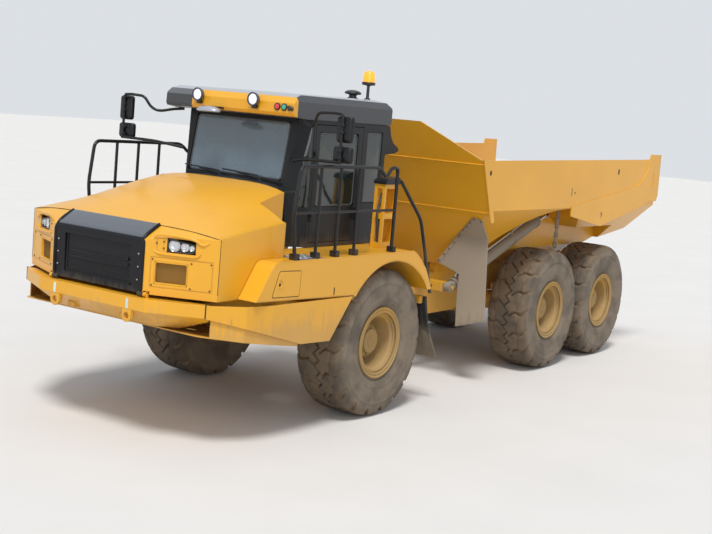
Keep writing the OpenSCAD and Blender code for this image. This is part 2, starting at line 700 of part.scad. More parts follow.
// Posts of the side rail along the deck
post_x = [3950, 3620, 3290, 2960, 2250];
rail_front_x = 4010;
rail_rear_x = 2256;
module side_rail() {
    tube_path([[post_x[0], rail_y, deck_z + 30], [rail_front_x, rail_y, rail_mid_z],
        [rail_front_x - 60, rail_y, rail_top_z],
        [2600, rail_y, rail_top_z], [2460, rail_y, 2590], [2380, rail_y, rail_top_z],
        [rail_rear_x, rail_y, rail_top_z],
        [post_x[4], rail_y, deck_z + 30]], rail_d);
    bar([rail_front_x, rail_y, rail_mid_z], [rail_rear_x, rail_y, rail_mid_z], rail_d - 10);
    for (x = [post_x[1], post_x[2], post_x[3]]) bar([x, rail_y, deck_z + 30], [x, rail_y, rail_top_z],
        rail_d - 5);
    for (x = post_x) box([x - 30, rail_y - 40, deck_z + seat_gap], [x + 30, rail_y + 40, deck_z + 60]);
}
module handrails() color(black) both_sides() side_rail();

// Mirrors

// Heads: x, y, z, width, height
mirror_heads = [[3440, 1490, 3075, 185, 265], [3420, 1480, 2825, 225, 165]];
module mirror_set() {
    for (m = mirror_heads) intersection() {
        box([m[0] - 45, m[1] - m[3] / 2, m[2] - m[4] / 2], [m[0] + 45, m[1] + m[3] / 2, m[2] + m[4] / 2]);
        translate([m[0] - 45 + m[4], m[1], m[2]]) sphere(r = m[4], $fn = 48);
    }
    tube_path([[3230, cab_y - 40, 3060], [3400, 1080, 3190], [3400, 1490, 3215], [3400, 1490, 2728]], 30);
    tube_path([[3260, cab_y - 60, 2700], [3400, 1080, 2748], [3400, 1500, 2748]], 30);
}
module mirrors() color(black) {
    both_sides() difference() {
        mirror_set();
        cab_solid(-seat_gap);
    }
    // Forward mirror on the right roof corner
    box([roof_face_x, -835, 3180], [roof_face_x + 8, -765, 3230]);
    tube_path([[roof_face_x + 4, -800, 3205], [3600, -860, 3190], [3650, -900, 3150]], 26);
    translate([3650, -900, 3120]) sphere(d = 150, $fn = 32);
}

// Boarding ladder behind the left front wheel

ladder_y = [1010, 1440];
// Treads: rear edge, front edge, height
treads = [[1600, 1735, 1600], [1425, 1528, 1400]];
module ladder() color(black) {
    tube_path([[rail_rear_x - 24, ladder_y[1], 2560], [1760, ladder_y[1], 2137],
        [1420, ladder_y[1], 1300]], rail_d);
    for (t = treads) difference() {
        box([t[0], ladder_y[0], t[2] - 30], [t[1], fender_y - panel_t - seat_gap, t[2]]);
        for (y = [ladder_y[0] + 20:70:1360]) box([t[0] + 20, y, t[2] - 31],
            [t[1] - 20, y + 44, t[2] + 1]);
    }
    bar([1448, ladder_y[1], 1385], [1480, ladder_y[1], 1385], 26);
    bar([1560, ladder_y[1], 1585], [1650, ladder_y[1], 1585], 26);
}

// Service cabinet behind the cab on the left deck

cabinet_x = [1880, 2128];
cabinet_y = [1040, 1178];
cabinet_top = 2500;
module service_cabinet() color(yellow) {
    difference() {
        box([cabinet_x[0], cabinet_y[0], deck_z + seat_gap], [cabinet_x[1], cabinet_y[1], cabinet_top]);
        for (z = [[deck_z + 60, 2120], [2180, cabinet_top - 50]]) {
            box([cabinet_x[0] + 34, cabinet_y[0] + 14, z[0]],
                [cabinet_x[1] - 34, cabinet_y[1] + 10, z[1]]);
            box([cabinet_x[0] + 14, cabinet_y[0] + 34, z[0]],
                [cabinet_x[1] + 10, cabinet_y[1] - 34, z[1]]);
        }
    }
}
module cabinet_lid() color(black) {
    low = cabinet_top + seat_gap;
    side_cut([[cabinet_x[0] - 20, low], [cabinet_x[1] + 14, low], [cabinet_x[1] + 12, low + 26],
        [cabinet_x[1] - 30, low + 58],
        [cabinet_x[0] + 10, low + 78], [cabinet_x[0] - 20, low + 66]], cabinet_y[0] - 12,
        cabinet_y[1] + 16);
}

// Rubber flaps behind the front wheels

flap_top = [1480, 1178];
flap_bottom = [1130, 515];
module front_mudflaps() color(black) both_sides() {
    side_cut([[1499, cross_z[1]], [flap_top[0], cross_z[1]], [1380, 900], flap_bottom,
        [flap_bottom[0] + flap_t, 510],
        [1380 + flap_t, 896], [1499, 1180]], 850, 1440);
}

// Hood

// Height of the hood along its middle and along its side edge
hood_middle = [[3470, 2455], [3600, 2450], [3900, 2400], [4300, 2306], [4600, 2208], [4865, 2111],
    [4955, 2075]];
hood_edge = [[3470, 2150], [3945, 2118], [4400, 2068], [4858, 2002], [4955, 1990]];
hood_rings_x = [3470, 3560, 3660, 3760, 3860, 3960, 4080, 4200, 4320, 4440, 4560, 4680, 4780, 4858,
    4905, 4955, 5060, 5160, 5260];
// The front seam runs from the cap's corner to the hood's side; the surface falls steeply before it
hood_fall = 0.573;
function seam_x(y) = y < 561 ? 4955 : 4955 - (y - 561) * 97 / 689;
function crowned(x, y) = let (side = lookup(x, hood_edge), power = 2.2 + max(0, 4300 - x) * 0.0023)
    side + (lookup(x, hood_middle) - side) * (1 - pow(min(y, hood_y) / hood_y, power));
function hood_top(x, y) = crowned(min(x, seam_x(y)), y) - max(0, x - seam_x(y)) * hood_fall;
hood_ring_y = [0, 200, 380, 520, 640, 760, 870, 970, 1060, 1140, 1200, 1250];
function hood_ring(x, drop) = let (half = [for (y = hood_ring_y) [x, y, hood_top(x, y) - drop]])
    concat([for (i = [len(half) - 1:-1:1]) [x, -half[i][1] - (i == len(half) - 1 ? 60 : 0),
        half[i][2]]], [for (i = [0:len(half) - 1])
        [x, half[i][1] + (i == len(half) - 1 ? 60 : 0), half[i][2]]],
        [[x, hood_y + 60, hood_low_z - 100], [x, -hood_y - 60, hood_low_z - 100]]);
// Plan of the hood: narrow at the cab, wide in the middle, swept at the front corners
hood_plan = [[3490, 860], [3925, 905], [3925, hood_y], [4858, hood_y], [5152, 612], [5162, 560]];
hood_inner_plan = [[3480, 848], [3937, 893], [3937, hood_y - panel_t], [4852, hood_y - panel_t],
    [5140, 606], [5148, 550]];
module hood_blank() intersection() {
    loft([for (x = hood_rings_x) hood_ring(x, 0)]);
    plan_cut(mirrored_plan(hood_plan), hood_low_z, 2600);
}
module hood_space() intersection() {
    loft([for (x = hood_rings_x) hood_ring(x, panel_t)]);
    plan_cut(mirrored_plan(hood_inner_plan), hood_low_z - 50, 2600);
}
cap_x = 4957;
cap_y = 575;
// Side view of the grille and the cap over it
grille_outline = [[5060, hood_low_z], [5150, hood_low_z], [5166, 1896], [5162, 1932], [5146, 1959],
    [5118, 1981],
    [cap_x, 2075], [cap_x, 2061], [5060, 1989]];
// The space in the hood that the grille and its cap fill
module grille_space(gap) {
    box([5040, -grille_y - gap, hood_low_z - 10], [5300, grille_y + gap, 1926]);
    side_cut([[cap_x - gap, 1916], [5300, 1916], [5300, 2200], [cap_x - gap, 2200]], -cap_y - gap,
        cap_y + gap);
}
// A place on the swept front corner: distance across, height; its X points out of the panel
cheek_turn = atan2(5152 - 4858, hood_y - 612);
module cheek_place(y, z) translate([5152 - (y - 612) * 294 / 638, y, z]) rotate([0, 0, cheek_turn])
    children();
lamp_at = [915, 1908];
lamp_half = [138, 66];
vent_at = [838, 1648];
vent_half = [160, 104];
panel_at = [928, 1650];
panel_half = [298, 142];
module hood_shell() color(yellow) {
    difference() {
        hood_blank();
        hood_space();
        grille_space(seat_gap);
        both_sides() {
            box([5112, hinge_y[0] - 6, hood_low_z - 10], [5180, hinge_y[1] + 24, hood_hinge[1] + 34]);
            cheek_place(lamp_at[0], lamp_at[1]) box([-70, -lamp_half[0], -lamp_half[1]],
                [40, lamp_half[0], lamp_half[1]]);
            cheek_place(vent_at[0], vent_at[1]) box([-40, -vent_half[0], -vent_half[1]],
                [40, vent_half[0], vent_half[1]]);
            // Shallow cove beside the lamp
            cheek_place(lamp_at[0], lamp_at[1]) box([-7, -lamp_half[0] - 96, 10 - lamp_half[1]],
                [40, -lamp_half[0], lamp_half[1] - 6]);
            // Parting line of the panel round the vent
            cheek_place(panel_at[0], panel_at[1]) difference() {
                box([-4, -panel_half[0], -panel_half[1]], [10, panel_half[0], panel_half[1]]);
                box([-5, 8 - panel_half[0], 8 - panel_half[1]],
                    [11, panel_half[0] - 8, panel_half[1] - 8]);
            }
        }
        // Shallow recess on the top
        translate([3850, -300, hood_top(3850, 300)]) rotate([0, 12, 0])
            box([-80, -170, -7], [80, 170, 60]);
    }
    // Hinge arms at the lower front corners
    both_sides() difference() {
        union() {
            box([5070, hinge_y[0], hood_hinge[1] + 4], [hood_hinge[0] - 6, hinge_y[1], hood_low_z + 130]);
            y_pin(hood_hinge[0], hinge_y[0], hinge_y[1], hood_hinge[1], 44);
        }
        y_pin(hood_hinge[0], hinge_y[0] - 20, hinge_y[1] + 20, hood_hinge[1], 22 + 2 * pin_gap);
    }
}
module grille() color(black) {
    difference() {
        intersection() {
            side_cut(grille_outline, -grille_y, grille_y);
            grille_space(0);
        }
        // Hollow behind, and the recessed face
        box([5000, -grille_y + 30, hood_low_z - 10], [5112, grille_y - 30, 1926]);
        box([5138, -grille_y + 150, hood_low_z + 60], [5200, grille_y - 150, 1870]);
        side_cut([[5050, 1916], [5120, 1916], [5110, 1957], [5040, 1999], [cap_x - 10, 2048],
            [cap_x - 10, 1916]],
            14 - cap_y, cap_y - 14);
    }
    // Ribs across the lower half of the face
    for (z = [hood_low_z + 90:44:1680]) box([5130, 160 - grille_y, z], [5146, grille_y - 160, z + 12]);
}
// Headlamps on the swept front corners: housing, main lamp and side lamp
// Lamps: place along the corner, diameter
lamps = [[-62, 112], [68, 84]];
module headlamps() color(black) both_sides() cheek_place(lamp_at[0], lamp_at[1]) {
    g = seat_gap;
    difference() {
        box([-66, g - lamp_half[0], g - lamp_half[1]], [-4, lamp_half[0] - g, lamp_half[1] - g]);
        box([-30, 12 - lamp_half[0], 12 - lamp_half[1]], [1, lamp_half[0] - 12, lamp_half[1] - 12]);
    }
    for (lamp = lamps) translate([-40, lamp[0], 0]) rotate([0, 90, 0])
        cylinder(h = 28, d = lamp[1], $fn = 48);
}
// Louvred vents beside the grille
module hood_vents() color(yellow) both_sides() cheek_place(vent_at[0], vent_at[1]) {
    g = seat_gap;
    difference() {
        box([-30, g - vent_half[0], g - vent_half[1]], [-6, vent_half[0] - g, vent_half[1] - g]);
        box([-31, 14 - vent_half[0], 14 - vent_half[1]], [-5, vent_half[0] - 14, vent_half[1] - 14]);
    }
    for (z = [-78:26:78]) box([-28, 10 - vent_half[0], z - 3], [-10, vent_half[0] - 10, z + 3]);
}

// Hitch

arm_r = 60;
yoke_tube_x = hitch_x - 480;
trunnion_end_x = 140;
head_front_x = 600;
module hitch_yoke() color(yellow) {
    difference() {
        union() {
            translate([hitch_x, 0, ear_low[1] + run_gap])
                cylinder(h = ear_high[0] - ear_low[1] - 2 * run_gap, r = hitch_barrel_r, $fn = 64);
            box([yoke_tube_x, -hitch_barrel_r + 10, hitch_z - 250],
                [hitch_x, hitch_barrel_r - 10, hitch_z + 250]);
            x_pin(head_front_x + run_gap, yoke_tube_x + 60, 0, hitch_z, 420);
            // Steering arms
            both_sides() {
                plan_cut([[hitch_x - 60, 100], [hitch_x + steer_eye[0] + 40, steer_eye[1] + 45],
                    [hitch_x + steer_eye[0] - 40, steer_eye[1] + 45],
                    [yoke_tube_x, 140], [yoke_tube_x, 100]], steer_arm_z[0], steer_arm_z[1]);
                translate([hitch_x + steer_eye[0], steer_eye[1], steer_arm_z[0]])
                    cylinder(h = steer_arm_z[1] - steer_arm_z[0], r = arm_r, $fn = 32);
            }
        }
        translate([hitch_x, 0, 0]) cylinder(h = 3000, d = hitch_pin_d + 2 * pin_gap, $fn = 48);
    }
    x_pin(trunnion_end_x, head_front_x + run_gap + 1, 0, hitch_z, trunnion_d);
    x_pin(trunnion_end_x - 40, trunnion_end_x, 0, hitch_z, trunnion_d + 60);
}

// Brackets on the sides of the front frame, each with a steering cylinder's pin

module steer_brackets() color(yellow) both_sides() {
    box([hitch_x + steer_pin[0] - 70, beam_out_y + seat_gap, steer_arm_z[0]],
        [hitch_x + steer_pin[0] + 70, 620, steer_arm_z[1]]);
    translate([hitch_x + steer_pin[0], steer_pin[1], steer_arm_z[0]])
        cylinder(h = steer_z + steer_d / 2 - steer_arm_z[0], d = eye_pin_d, $fn = 32);
}

// Steering cylinders: barrel on the front frame, rod to the hitch

steer_len = norm([steer_pin[0] - steer_eye[0], steer_pin[1] - steer_eye[1]]);
steer_turn = atan2(steer_eye[1] - steer_pin[1], steer_eye[0] - steer_pin[0]);
steer_barrel_l = 640;
steer_rod_start = 345;
module steer_place(side)
    translate([hitch_x + steer_pin[0], side * steer_pin[1], steer_z]) rotate([0, 0, side * steer_turn])
        children();
module steer_barrel(side) color(steel) steer_place(side) difference() {
    union() {
        rotate([0, 90, 0]) cylinder(h = steer_barrel_l, d = steer_d, $fn = 48);
        translate([0, 0, -steer_d / 2]) cylinder(h = steer_d, r = 55, $fn = 48);
    }
    translate([0, 0, -200]) cylinder(h = 400, d = eye_pin_d + 2 * pin_gap, $fn = 32);
    translate([70, 0, 0]) rotate([0, 90, 0]) cylinder(h = steer_barrel_l, d = steer_rod_d + 2 * pin_gap,
        $fn = 48);
}
module steer_rod(side) color(silver) steer_place(side) difference() {
    union() {
        translate([steer_rod_start, 0, 0]) rotate([0, 90, 0])
            cylinder(h = steer_len - steer_rod_start - 30, d = steer_rod_d, $fn = 48);
        translate([steer_len, 0, -steer_d / 2]) cylinder(h = steer_d, r = 48, $fn = 48);
    }
    translate([steer_len, 0, -200]) cylinder(h = 400, d = eye_pin_d + 2 * pin_gap, $fn = 32);
}
module steer_barrel_left() steer_barrel(1);
module steer_barrel_right() steer_barrel(-1);
module steer_rod_left() steer_rod(1);
module steer_rod_right() steer_rod(-1);

// Rear frame and bogie

rear_beam_in_y = rear_beam_y - beam_t;
bogie_x = (mid_axle_x + rear_axle_x) / 2;
bogie_z = 1045;
rear_head_x = 150;
hoist_pin = [60, 1180];
hoist_arm_y = hoist_y - 52;
axle_clear_z = wheel_z + axle_r + 14;
tail_plate_x = dump_x - 62;
tail_plate_y = 640;
rear_outline = [[rear_head_x + 100, 740], [rear_head_x + 100, 1160], [-350, rear_frame_top],
    [dump_x + 100, rear_frame_top],
    [dump_x + 20, dump_z + 88], [dump_x - 88, dump_z + 20], [dump_x - 80, 1100],
    [dump_x - 60, axle_clear_z], [-1500, axle_clear_z],
    [-900, 740]];
module rear_frame() color(yellow) difference() {
    union() {
        both_sides() {
            side_cut(rear_outline, rear_beam_in_y, rear_beam_y);
            y_pin(dump_x, rear_beam_in_y, rear_beam_y, dump_z, 180);
            // Arm and pin that carry a dump cylinder
            box([hoist_pin[0] - 60, rear_beam_in_y, hoist_pin[1] - 60],
                [hoist_pin[0] + 60, hoist_arm_y, hoist_pin[1] + 60]);
            y_pin(hoist_pin[0], hoist_arm_y - 10, hoist_y + 60, hoist_pin[1], eye_pin_d);
        }
        // Head round the oscillation tube
        x_pin(rear_head_x, head_front_x, 0, hitch_z, trunnion_d + 160);
        box([rear_head_x, -rear_beam_y, 740], [rear_head_x + 100, rear_beam_y, 1160]);
        for (p = [[-700, 1050], [bogie_x, 1190], [dump_x + 260, 1150]])
            y_pin(p[0], -rear_beam_in_y - 1, rear_beam_in_y + 1, p[1], 160);
        // Tail plate that carries the rear lamps
        box([tail_plate_x - 20, -tail_plate_y, 990], [tail_plate_x, tail_plate_y, 1110]);
    }
    x_pin(0, 700, 0, hitch_z, trunnion_d + 2 * pin_gap);
    y_pin(dump_x, -1000, 1000, dump_z, dump_pin_d + 2 * pin_gap);
}
module tail_lamps() color(black) both_sides() {
    box([tail_plate_x - 70, 470, 1000], [tail_plate_x - 20 - seat_gap, tail_plate_y - 10, 1100]);
    for (y = [520, 585]) x_pin(tail_plate_x - 78, tail_plate_x - 60, y, 1050, 56);
}
module bogie_beams() color(yellow) both_sides() {
    side_cut([[mid_axle_x + 150, axle_pad_z + seat_gap], [rear_axle_x - 150, axle_pad_z + seat_gap],
        [rear_axle_x - 150, 1060],
        [bogie_x - 250, 1150], [bogie_x + 250, 1150], [mid_axle_x + 150, 1060]], bogie_pad_y[0],
        bogie_pad_y[1]);
    y_pin(bogie_x, rear_beam_y + seat_gap, bogie_pad_y[0] + 10, bogie_z, 170);
}

// Dump body

tail_x = -5100;
// Front wall leans forward above this corner and runs down to the floor below it
front_knee = [173, 2100];
front_lean = (470 - 173) / 705;
floor_front_x = -300;
floor_kink_x = -3300;
floor_rise = 0.211;
function wall_x(z) = front_knee[0] + (z - front_knee[1]) * front_lean;
function panel_x(z) = floor_front_x + (z - floor_z) * (front_knee[0] - floor_front_x) / (front_knee[1] - floor_z);
module bed_blank() intersection() {
    side_cut([[floor_front_x, floor_z], front_knee, [wall_x(2805), 2805], [-4560, 2892], [tail_x, 2905],
        [tail_x, floor_z + (floor_kink_x - tail_x) * floor_rise], [floor_kink_x, floor_z]], -body_y,
        body_y);
    front_cut(mirrored([[floor_y, floor_z], [body_y, knee_z], [body_y, 3300]]), -6000, 1000);
}
module bed_space(t) intersection() {
    side_cut([[floor_front_x - t * 0.5, floor_z + t], [front_knee[0] - t * 1.1, front_knee[1]],
        [wall_x(3400) - t * 1.1, 3400], [-5400, 3400],
        [-5400, floor_z + t + (floor_kink_x + 5400) * floor_rise],
        [floor_kink_x, floor_z + t]], -body_y, body_y);
    front_cut(mirrored([[floor_y - t * 0.4, floor_z], [floor_y - t * 0.4, floor_z + t],
        [body_y - t, knee_z + t * 0.6],
        [body_y - t, 3500]]), -6000, 1200);
}
// Recess over the wheels and the dump cylinders, grown by the plate thickness for its inner face
recess_x = -2000;
recess_top = 2190;
function recess_line(t) = concat([for (a = [0:15:90]) [recess_x + (1250 + t) * cos(a),
    1450 + (recess_top - 1450 + t) * sin(a)]],
    [[-2790, recess_top + t], [-2850 - t, 1990 + t], [-3100, 1860 + t], [-4400 - t, 1860 + t],
    [-4520 - t, 1200], [recess_x + 1250 + t, 1200]]);
module recess(t) both_sides() side_cut(recess_line(t), trough_y - t, 3000);

rim_t = 12;
tail_plate = [[-2100, 2222], [-4100, 2455], [-4350, 2500], [-4560, 2590], [-4700, 2740], [-4790, 2975],
    [-5190, 2975],
    [-5225, 2343], [-5170, 2255], [-4850, 2262], [-4700, 2195], [-3104, 1922], [-2100, 2087]];
module dump_body() color(yellow) {
    difference() {
        bed_blank();
        recess(0);
        difference() {
            bed_space(body_t);
            recess(body_t);
        }
    }
    // Headboard above the side walls
    intersection() {
        side_cut([[wall_x(2700) + 3, 2700], [wall_x(3210) + 3, 3210], [wall_x(3210) - body_t - 6, 3210],
            [wall_x(2700) - body_t - 6, 2700]],
            -body_y + 12, body_y - 12);
        front_cut(mirrored([[body_y - 15, 2690], [body_y - 15, 2800], [620, 3200]]), -100, 1000);
    }
    for (z = [2750, 2170])
        side_cut([[wall_x(z - 14) - 4, z - 14], [wall_x(z) + 26, z], [wall_x(z + 14) - 4, z + 14]],
            -body_y + 4, body_y - 4);
    both_sides() {
        // Doubled tail plate with its hand hole and slot
        difference() {
            side_cut(tail_plate, body_y - 6, body_y + rim_t);
            translate([-3112, body_y - 50, 2081]) rotate([-90, 0, 0]) cylinder(h = 100, d = 90, $fn = 32);
            side_cut([[-4930, 2470], [-4960, 2470], [-4985, 2690], [-4955, 2690]], body_y - 50,
                body_y + 50);
        }
        // Corner pillar
        side_cut([[wall_x(2060) + 10, 2060], [wall_x(2815) + 12, 2815], [wall_x(2815) - 90, 2815],
            [wall_x(2080) - 80, 2080],
            [wall_x(2050) - 50, 2050]], body_y - 6, body_y + rim_t);
        // Rails that rest on the frame, and the hinge ears with their pins
        side_cut([[-350, rear_frame_top + seat_gap], [-3840, rear_frame_top + seat_gap], [-3840, 1518],
            [floor_kink_x, 1404],
            [-350, 1404]], rear_beam_in_y, rear_beam_y);
        side_cut([[dump_x - 80, dump_z - 10], [dump_x - 150, 1586], [dump_x + 150, 1524],
            [dump_x + 80, dump_z - 10]],
            rear_beam_y + run_gap, rear_beam_y + 80);
        y_pin(dump_x, rear_beam_y + run_gap, rear_beam_y + 80, dump_z, 180);
        y_pin(dump_x, rear_beam_in_y - 8, rear_beam_y + 80, dump_z, dump_pin_d);
        // Bracket beside the dump cylinder's rod eye
        box([hoist_eye[0] - 80, trough_y - 5, hoist_eye[1] - 60],
            [hoist_eye[0] + 80, hoist_y - 50, recess_top + 5]);
    }
}
module body_guards() color(steel) both_sides() {
    front_cut([[1000, 1360], [1000, 1050], [1020, 695], [1417, 830], [1356, 1842], [932, 1842],
        [660, 1473]], 0, guard_t);
    intersection() {
        side_cut([[panel_x(1842) + 0.6, 1842], [panel_x(1842) + 17, 1842], [panel_x(2100) + 17, 2100],
            [panel_x(2100) + 0.6, 2100]], 600, 1500);
        front_cut([[932, 1800], [1358, 1800], [1335, 2070], [1220, 2100], [940, 1850]], -100, 300);
    }
}
// Chains that hang from the recess: place, length and half width of a link, wire
chain = [-2350, 1150];
link_half = [52, 30];
link_wire = 20;
link_count = 8;
module link_outline(inset) {
    square([2 * (link_half[1] - inset), 2 * (link_half[0] - link_half[1])], center = true);
    for (end = [-1, 1]) translate([0, end * (link_half[0] - link_half[1])])
        circle(r = link_half[1] - inset, $fn = 24);
}
module chain_link() translate([0, link_wire / 2, 0]) rotate([90, 0, 0]) linear_extrude(link_wire)
    difference() {
    link_outline(0);
    link_outline(link_wire);
}
module body_chain() color(steel) both_sides() translate([chain[0], chain[1], recess_top - seat_gap]) {
    box([-35, -18, -40], [35, 18, 0]);
    for (i = [0:link_count - 1])
        translate([0, 0, -82 - i * (2 * (link_half[0] - link_wire) + 1)]) rotate([0, 0, 90 * (i % 2)])
            chain_link();
}

// Dump cylinders: barrel on the rear frame, rod to the body

hoist_eye = [-2450, 2050];
hoist_len = norm(hoist_eye - hoist_pin);
hoist_turn = atan2(hoist_pin[1] - hoist_eye[1], hoist_eye[0] - hoist_pin[0]);
hoist_barrel_l = 2380;
hoist_neck = 96;
module hoist_place() translate([hoist_pin[0], hoist_y, hoist_pin[1]]) rotate([0, hoist_turn, 0])
    children();
module dump_barrels() color(steel) both_sides() hoist_place() difference() {
    union() {
        translate([hoist_neck, 0, 0]) rotate([0, 90, 0])
            cylinder(h = hoist_barrel_l - hoist_neck, d = hoist_d, $fn = 48);
        translate([0, 45, 0]) rotate([90, 0, 0]) cylinder(h = 90, r = 62, $fn = 48);
        box([0, -45, -40], [hoist_neck + 10, 45, 40]);
    }
    translate([0, 200, 0]) rotate([90, 0, 0]) cylinder(h = 400, d = eye_pin_d + 2 * pin_gap, $fn = 32);
    translate([140, 0, 0]) rotate([0, 90, 0]) cylinder(h = hoist_barrel_l,
        d = hoist_rod_d + 2 * pin_gap, $fn = 48);
}
module dump_rods() color(silver) both_sides() hoist_place() difference() {
    union() {
        translate([180, 0, 0]) rotate([0, 90, 0]) cylinder(h = hoist_len - 180 - 30, d = hoist_rod_d,
            $fn = 48);
        translate([hoist_len, 40, 0]) rotate([90, 0, 0]) cylinder(h = 80, r = 62, $fn = 48);
    }
    translate([hoist_len, 200, 0]) rotate([90, 0, 0])
        cylinder(h = 400, d = eye_pin_d + 2 * pin_gap, $fn = 32);
}

front_frame();
steer_brackets();
engine_block();
front_axle();
bumper();
belly_plate();
fender_left();
fender_right();
cab_shell();
cab_roof();
roof_visor();
cab_glass();
cab_seat();
roof_lamps();
handrails();
mirrors();
ladder();
service_cabinet();
cabinet_lid();
front_mudflaps();
scuttle();
front_struts();
hood_shell();
grille();
headlamps();
hood_vents();
cab_door();
door_glass();
hitch_yoke();
steer_barrel_left();
steer_rod_left();
steer_barrel_right();
steer_rod_right();
rear_frame();
tail_lamps();
bogie_beams();
mid_axle();
rear_axle();
dump_body();
body_guards();
body_chain();
dump_barrels();
dump_rods();
tyre_front_left();
rim_front_left();
tyre_front_right();
rim_front_right();
tyre_mid_left();
rim_mid_left();
tyre_mid_right();
rim_mid_right();
tyre_rear_left();
rim_rear_left();
tyre_rear_right();
rim_rear_right();
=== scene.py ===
import json
import math

import bmesh
import bpy
import numpy as np
from mathutils import Matrix, Vector


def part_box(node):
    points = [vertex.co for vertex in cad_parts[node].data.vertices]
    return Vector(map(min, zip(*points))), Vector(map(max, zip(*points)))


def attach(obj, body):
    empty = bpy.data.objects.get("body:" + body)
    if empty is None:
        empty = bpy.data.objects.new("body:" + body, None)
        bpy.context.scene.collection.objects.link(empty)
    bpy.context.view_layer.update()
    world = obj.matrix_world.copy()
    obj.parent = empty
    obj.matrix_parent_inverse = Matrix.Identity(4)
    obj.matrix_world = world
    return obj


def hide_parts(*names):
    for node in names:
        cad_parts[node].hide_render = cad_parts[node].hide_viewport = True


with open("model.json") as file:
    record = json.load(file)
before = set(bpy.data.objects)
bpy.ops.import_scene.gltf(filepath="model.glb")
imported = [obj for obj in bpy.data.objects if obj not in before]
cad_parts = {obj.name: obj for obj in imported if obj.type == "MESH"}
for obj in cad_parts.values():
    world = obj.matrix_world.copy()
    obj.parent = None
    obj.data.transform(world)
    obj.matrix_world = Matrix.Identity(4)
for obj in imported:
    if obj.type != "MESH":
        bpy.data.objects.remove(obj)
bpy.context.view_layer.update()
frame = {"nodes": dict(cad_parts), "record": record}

nodes = frame["nodes"]
slotOfNode = {part["node"]: part["material_slot"] for part in frame["record"]["subparts"]}
print("frame loaded:", len(nodes), "nodes")

# shader tools: one call adds a node, sets it and wires it


def setSockets(tree, made, sockets):
    # a value that is a socket is wired to the input, any other is set
    for key, value in sockets.items():
        if isinstance(value, bpy.types.NodeSocket):
            tree.links.new(value, made.inputs[key])
        else:
            made.inputs[key].default_value = value
    return made


def addNode(tree, kind, settings=None, sockets=None):
    made = tree.nodes.new(kind)
    for name, value in (settings or {}).items():
        setattr(made, name, value)
    return setSockets(tree, made, sockets or {})


def mathNode(tree, operation, a, b=0.0, clamp=False):
    return addNode(tree, "ShaderNodeMath", {"operation": operation, "use_clamp": clamp},
                   {0: a, 1: b}).outputs[0]


def times(tree, a, b, clamp=False):
    return mathNode(tree, "MULTIPLY", a, b, clamp)


def plus(tree, a, b, clamp=False):
    return mathNode(tree, "ADD", a, b, clamp)


def minus(tree, a, b):
    return mathNode(tree, "SUBTRACT", a, b)


def mixColor(tree, factor, a, b):
    return addNode(tree, "ShaderNodeMix", {"data_type": "RGBA"}, {0: factor, 6: a, 7: b}).outputs[2]


def rangeNode(tree, value, low, high, toLow=0.0, toHigh=1.0):
    sockets = {0: value, 1: low, 2: high, 3: toLow, 4: toHigh}
    return addNode(tree, "ShaderNodeMapRange", {"interpolation_type": "SMOOTHSTEP"}, sockets).outputs[0]


def noiseNode(tree, place, scale, detail, rough=0.5):
    sockets = {"Vector": place, "Scale": scale, "Detail": detail, "Roughness": rough}
    return addNode(tree, "ShaderNodeTexNoise", None, sockets).outputs[0]


def objectPlace(tree):
    return addNode(tree, "ShaderNodeTexCoord").outputs["Object"]


def upPart(tree, vector):
    return addNode(tree, "ShaderNodeSeparateXYZ", None, {0: vector}).outputs[2]


def newGroup(name, inputs, outputs):
    # inputs are numbers with the value they start from, outputs name the kind of their socket
    group = bpy.data.node_groups.new(name, "ShaderNodeTree")
    for label, value in inputs.items():
        group.interface.new_socket(label, in_out="INPUT", socket_type="NodeSocketFloat").default_value = value
    for label, kind in outputs.items():
        group.interface.new_socket(label, in_out="OUTPUT", socket_type=kind)
    return group, addNode(group, "NodeGroupInput"), addNode(group, "NodeGroupOutput")


def placeGroup(tree, group, **values):
    return addNode(tree, "ShaderNodeGroup", {"node_tree": group}, values)


def rgb(red, green, blue):
    return (red, green, blue, 1.0)


def shaded(color, factor, lift=0.0):
    return rgb(*[part * factor + lift for part in color[:3]])


# shared effects

def makeMudGroup():
    # Mask = how far the point lies below High, towards Low, broken up by splashes and by streaks that run
    # down
    group, given, out = newGroup("mudFilm", {"Low": 0.5, "High": 1.5, "Amount": 0.6},
                                 {"Mask": "NodeSocketFloat", "Patches": "NodeSocketFloat"})
    place = objectPlace(group)
    patches = noiseNode(group, place, 3.2, 8.0, 0.68)
    drawn = addNode(group, "ShaderNodeMapping", None, {"Vector": place, "Scale": (9.0, 9.0, 0.7)}).outputs[0]
    streaks = noiseNode(group, drawn, 2.4, 5.0)
    level = rangeNode(group, upPart(group, place), given.outputs["High"], given.outputs["Low"])
    broken = plus(group, times(group, patches, 0.75), times(group, streaks, 0.45))
    threshold = minus(group, 1.02, times(group, level, 0.72))
    mask = rangeNode(group, broken, minus(group, threshold, 0.16), plus(group, threshold, 0.10))
    mask = times(group, mask, given.outputs["Amount"], True)
    setSockets(group, out, {"Mask": mask, "Patches": patches})
    return group


